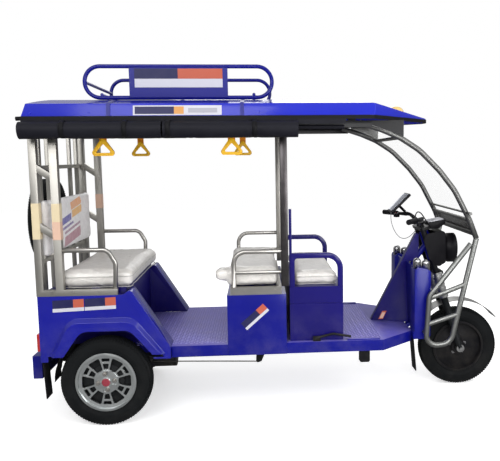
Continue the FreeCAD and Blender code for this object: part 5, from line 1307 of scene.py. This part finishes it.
def sliceOutline(node, height):
    # outline of a CAD node at one height, as a ring of corners
    bm = bmesh.new()
    bm.from_mesh(frame["nodes"][node].data)
    cut = bmesh.ops.bisect_plane(bm, geom=bm.verts[:] + bm.edges[:] + bm.faces[:], plane_co=(0, 0, height),
                                 plane_no=(0, 0, 1))
    spots = [vert.co.to_2d() for vert in cut["geom_cut"] if isinstance(vert, bmesh.types.BMVert)]
    bm.free()
    return [spots[index].to_3d() for index in convex_hull_2d(spots)]


def makeRoofTrim(facts):
    # a strip laid on the canopy's lower edge all the way round
    path = evenPoints(sliceOutline("roof_canopy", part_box("roof_canopy")[0].z + 0.002), 0.02)
    bm = bmesh.new()
    rings = [[], [], [], []]
    for index, spot in enumerate(path):
        along = path[(index + 1) % len(path)] - path[index - 1]
        normal = Vector((along.y, -along.x, 0)).normalized()
        spots = []
        for height in (facts["low"] + 0.003, facts["high"]):
            start = Vector((spot.x, spot.y, height)) + normal * 0.05
            hit = surfaceAt("roof_canopy", start, -normal)
            spots.append(hit if hit and (hit - start).length < 0.12 else Vector((spot.x, spot.y, height)))
        spots[0].z = facts["low"]
        for ring, (level, proud) in zip(rings, ((0, "gap"), (0, "thickness"), (1, "thickness"), (1, "gap"))):
            ring.append(bm.verts.new(spots[level] + normal * facts[proud]))
    bridgeRings(bm, rings, looped=True)
    finishPiece(fromBmesh("roof_trim", bm, 40), "root", "rubber")


makeRoofTrim(roofTrim)
print("stage: roof trim")


# camera, light and floor

cameraPlace = {"place": (-0.09717, -3.83991, 1.45093), "yaw": 4.36, "pitch": -6.66, "roll": -0.56,
               "lens": 45.07, "shiftX": -0.1138}
lamps = {  # place, aim, size, power
    "keySoft": ((-1.6, -4.2, 3.4), (0, 0, 0.8), (3.6, 2.6), 130),
    "sideSoft": ((3.6, -2.6, 2.6), (0.3, 0, 0.7), (2.4, 2.4), 45),
    "cabinSoft": ((1.2, -2.3, 1.35), (-1.1, 0, 1.1), (1.0, 0.9), 30),
    "backSoft": ((0.5, 4.2, 3.6), (0, 0, 0.8), (3.6, 2.2), 60),
}


def makeCamera(facts):
    camera = linkPiece("camera", bpy.data.cameras.new("camera"))
    camera.data.lens = facts["lens"]
    camera.data.sensor_width = 36
    camera.data.shift_x = facts["shiftX"]
    yaw, pitch = math.radians(facts["yaw"]), math.radians(facts["pitch"])
    ahead = Vector((math.sin(yaw) * math.cos(pitch), math.cos(yaw) * math.cos(pitch), math.sin(pitch)))
    turn = ahead.to_track_quat("-Z", "Y").to_matrix() @ Matrix.Rotation(math.radians(facts["roll"]), 3, "Z")
    camera.matrix_world = Matrix.Translation(facts["place"]) @ turn.to_4x4()
    scene.camera = camera


def makeLamp(name, place, aim, size, power):
    light = bpy.data.lights.new(name, "AREA")
    light.shape = "RECTANGLE"
    light.size, light.size_y = size
    light.energy = power
    lamp = linkPiece(name, light)
    lamp.location = place
    lamp.rotation_euler = (Vector(aim) - Vector(place)).to_track_quat("-Z", "Y").to_euler()


def makeWorld():
    # even light, white behind the object, and a softer sky in its reflections
    scene.world = bpy.data.worlds.new("studio")
    scene.world.use_nodes = True
    tree = scene.world.node_tree
    tree.nodes.clear()
    rays = addNode(tree, "LightPath").outputs
    white = (1, 1, 1, 1)
    dim = addNode(tree, "Background", in_Color=white, in_Strength=0.55)
    ahead = addNode(tree, "TexCoord").outputs["Generated"]
    height = addNode(tree, "SeparateXYZ", in_Vector=ahead).outputs["Z"]
    sky = addNode(tree, "MapRange", in_Value=height, in_1=0.08, in_2=0.6, in_3=0.3, in_4=1.0)
    clear = mathNode(tree, "MAXIMUM", rays["Is Camera Ray"], rays["Is Transmission Ray"])
    level = mathNode(tree, "MAXIMUM", clear, sky.outputs["Result"])
    bright = addNode(tree, "Background", in_Color=white, in_Strength=level)
    seen = mathNode(tree, "MAXIMUM", clear, rays["Is Glossy Ray"])
    mix = addNode(tree, "MixShader", in_0=seen, in_1=dim.outputs[0], in_2=bright.outputs[0])
    addNode(tree, "OutputWorld", in_Surface=mix.outputs[0])


def makeFloor():
    bm = bmesh.new()
    bmesh.ops.create_grid(bm, x_segments=2, y_segments=2, size=14)
    floor = fromBmesh("floor", bm, outward=False)
    tree, place = newMaterial("paleFloor")
    rays = addNode(tree, "LightPath").outputs
    tone = mixColour(tree, noiseIn(tree, place, 0.7, 3.0), (0.9, 0.9, 0.9), (0.94, 0.94, 0.94))
    shader = tree.nodes["Principled BSDF"]
    tree.links.new(mixColour(tree, rays["Is Glossy Ray"], tone, (0.3, 0.3, 0.3)), shader.inputs["Base Color"])
    seen = mathNode(tree, "MAXIMUM", rays["Is Camera Ray"], rays["Is Transmission Ray"])
    tree.links.new(mathNode(tree, "MULTIPLY", seen, 0.5), shader.inputs["Emission Strength"])
    shader.inputs["Emission Color"].default_value = (1, 1, 1, 1)
    shader.inputs["Roughness"].default_value = 0.9
    floor.data.materials.append(looks["paleFloor"])


scene.view_settings.view_transform = "Standard"
makeCamera(cameraPlace)
makeWorld()
makeFloor()
for name, facts in lamps.items():
    makeLamp(name, *facts)
print("stage: studio")
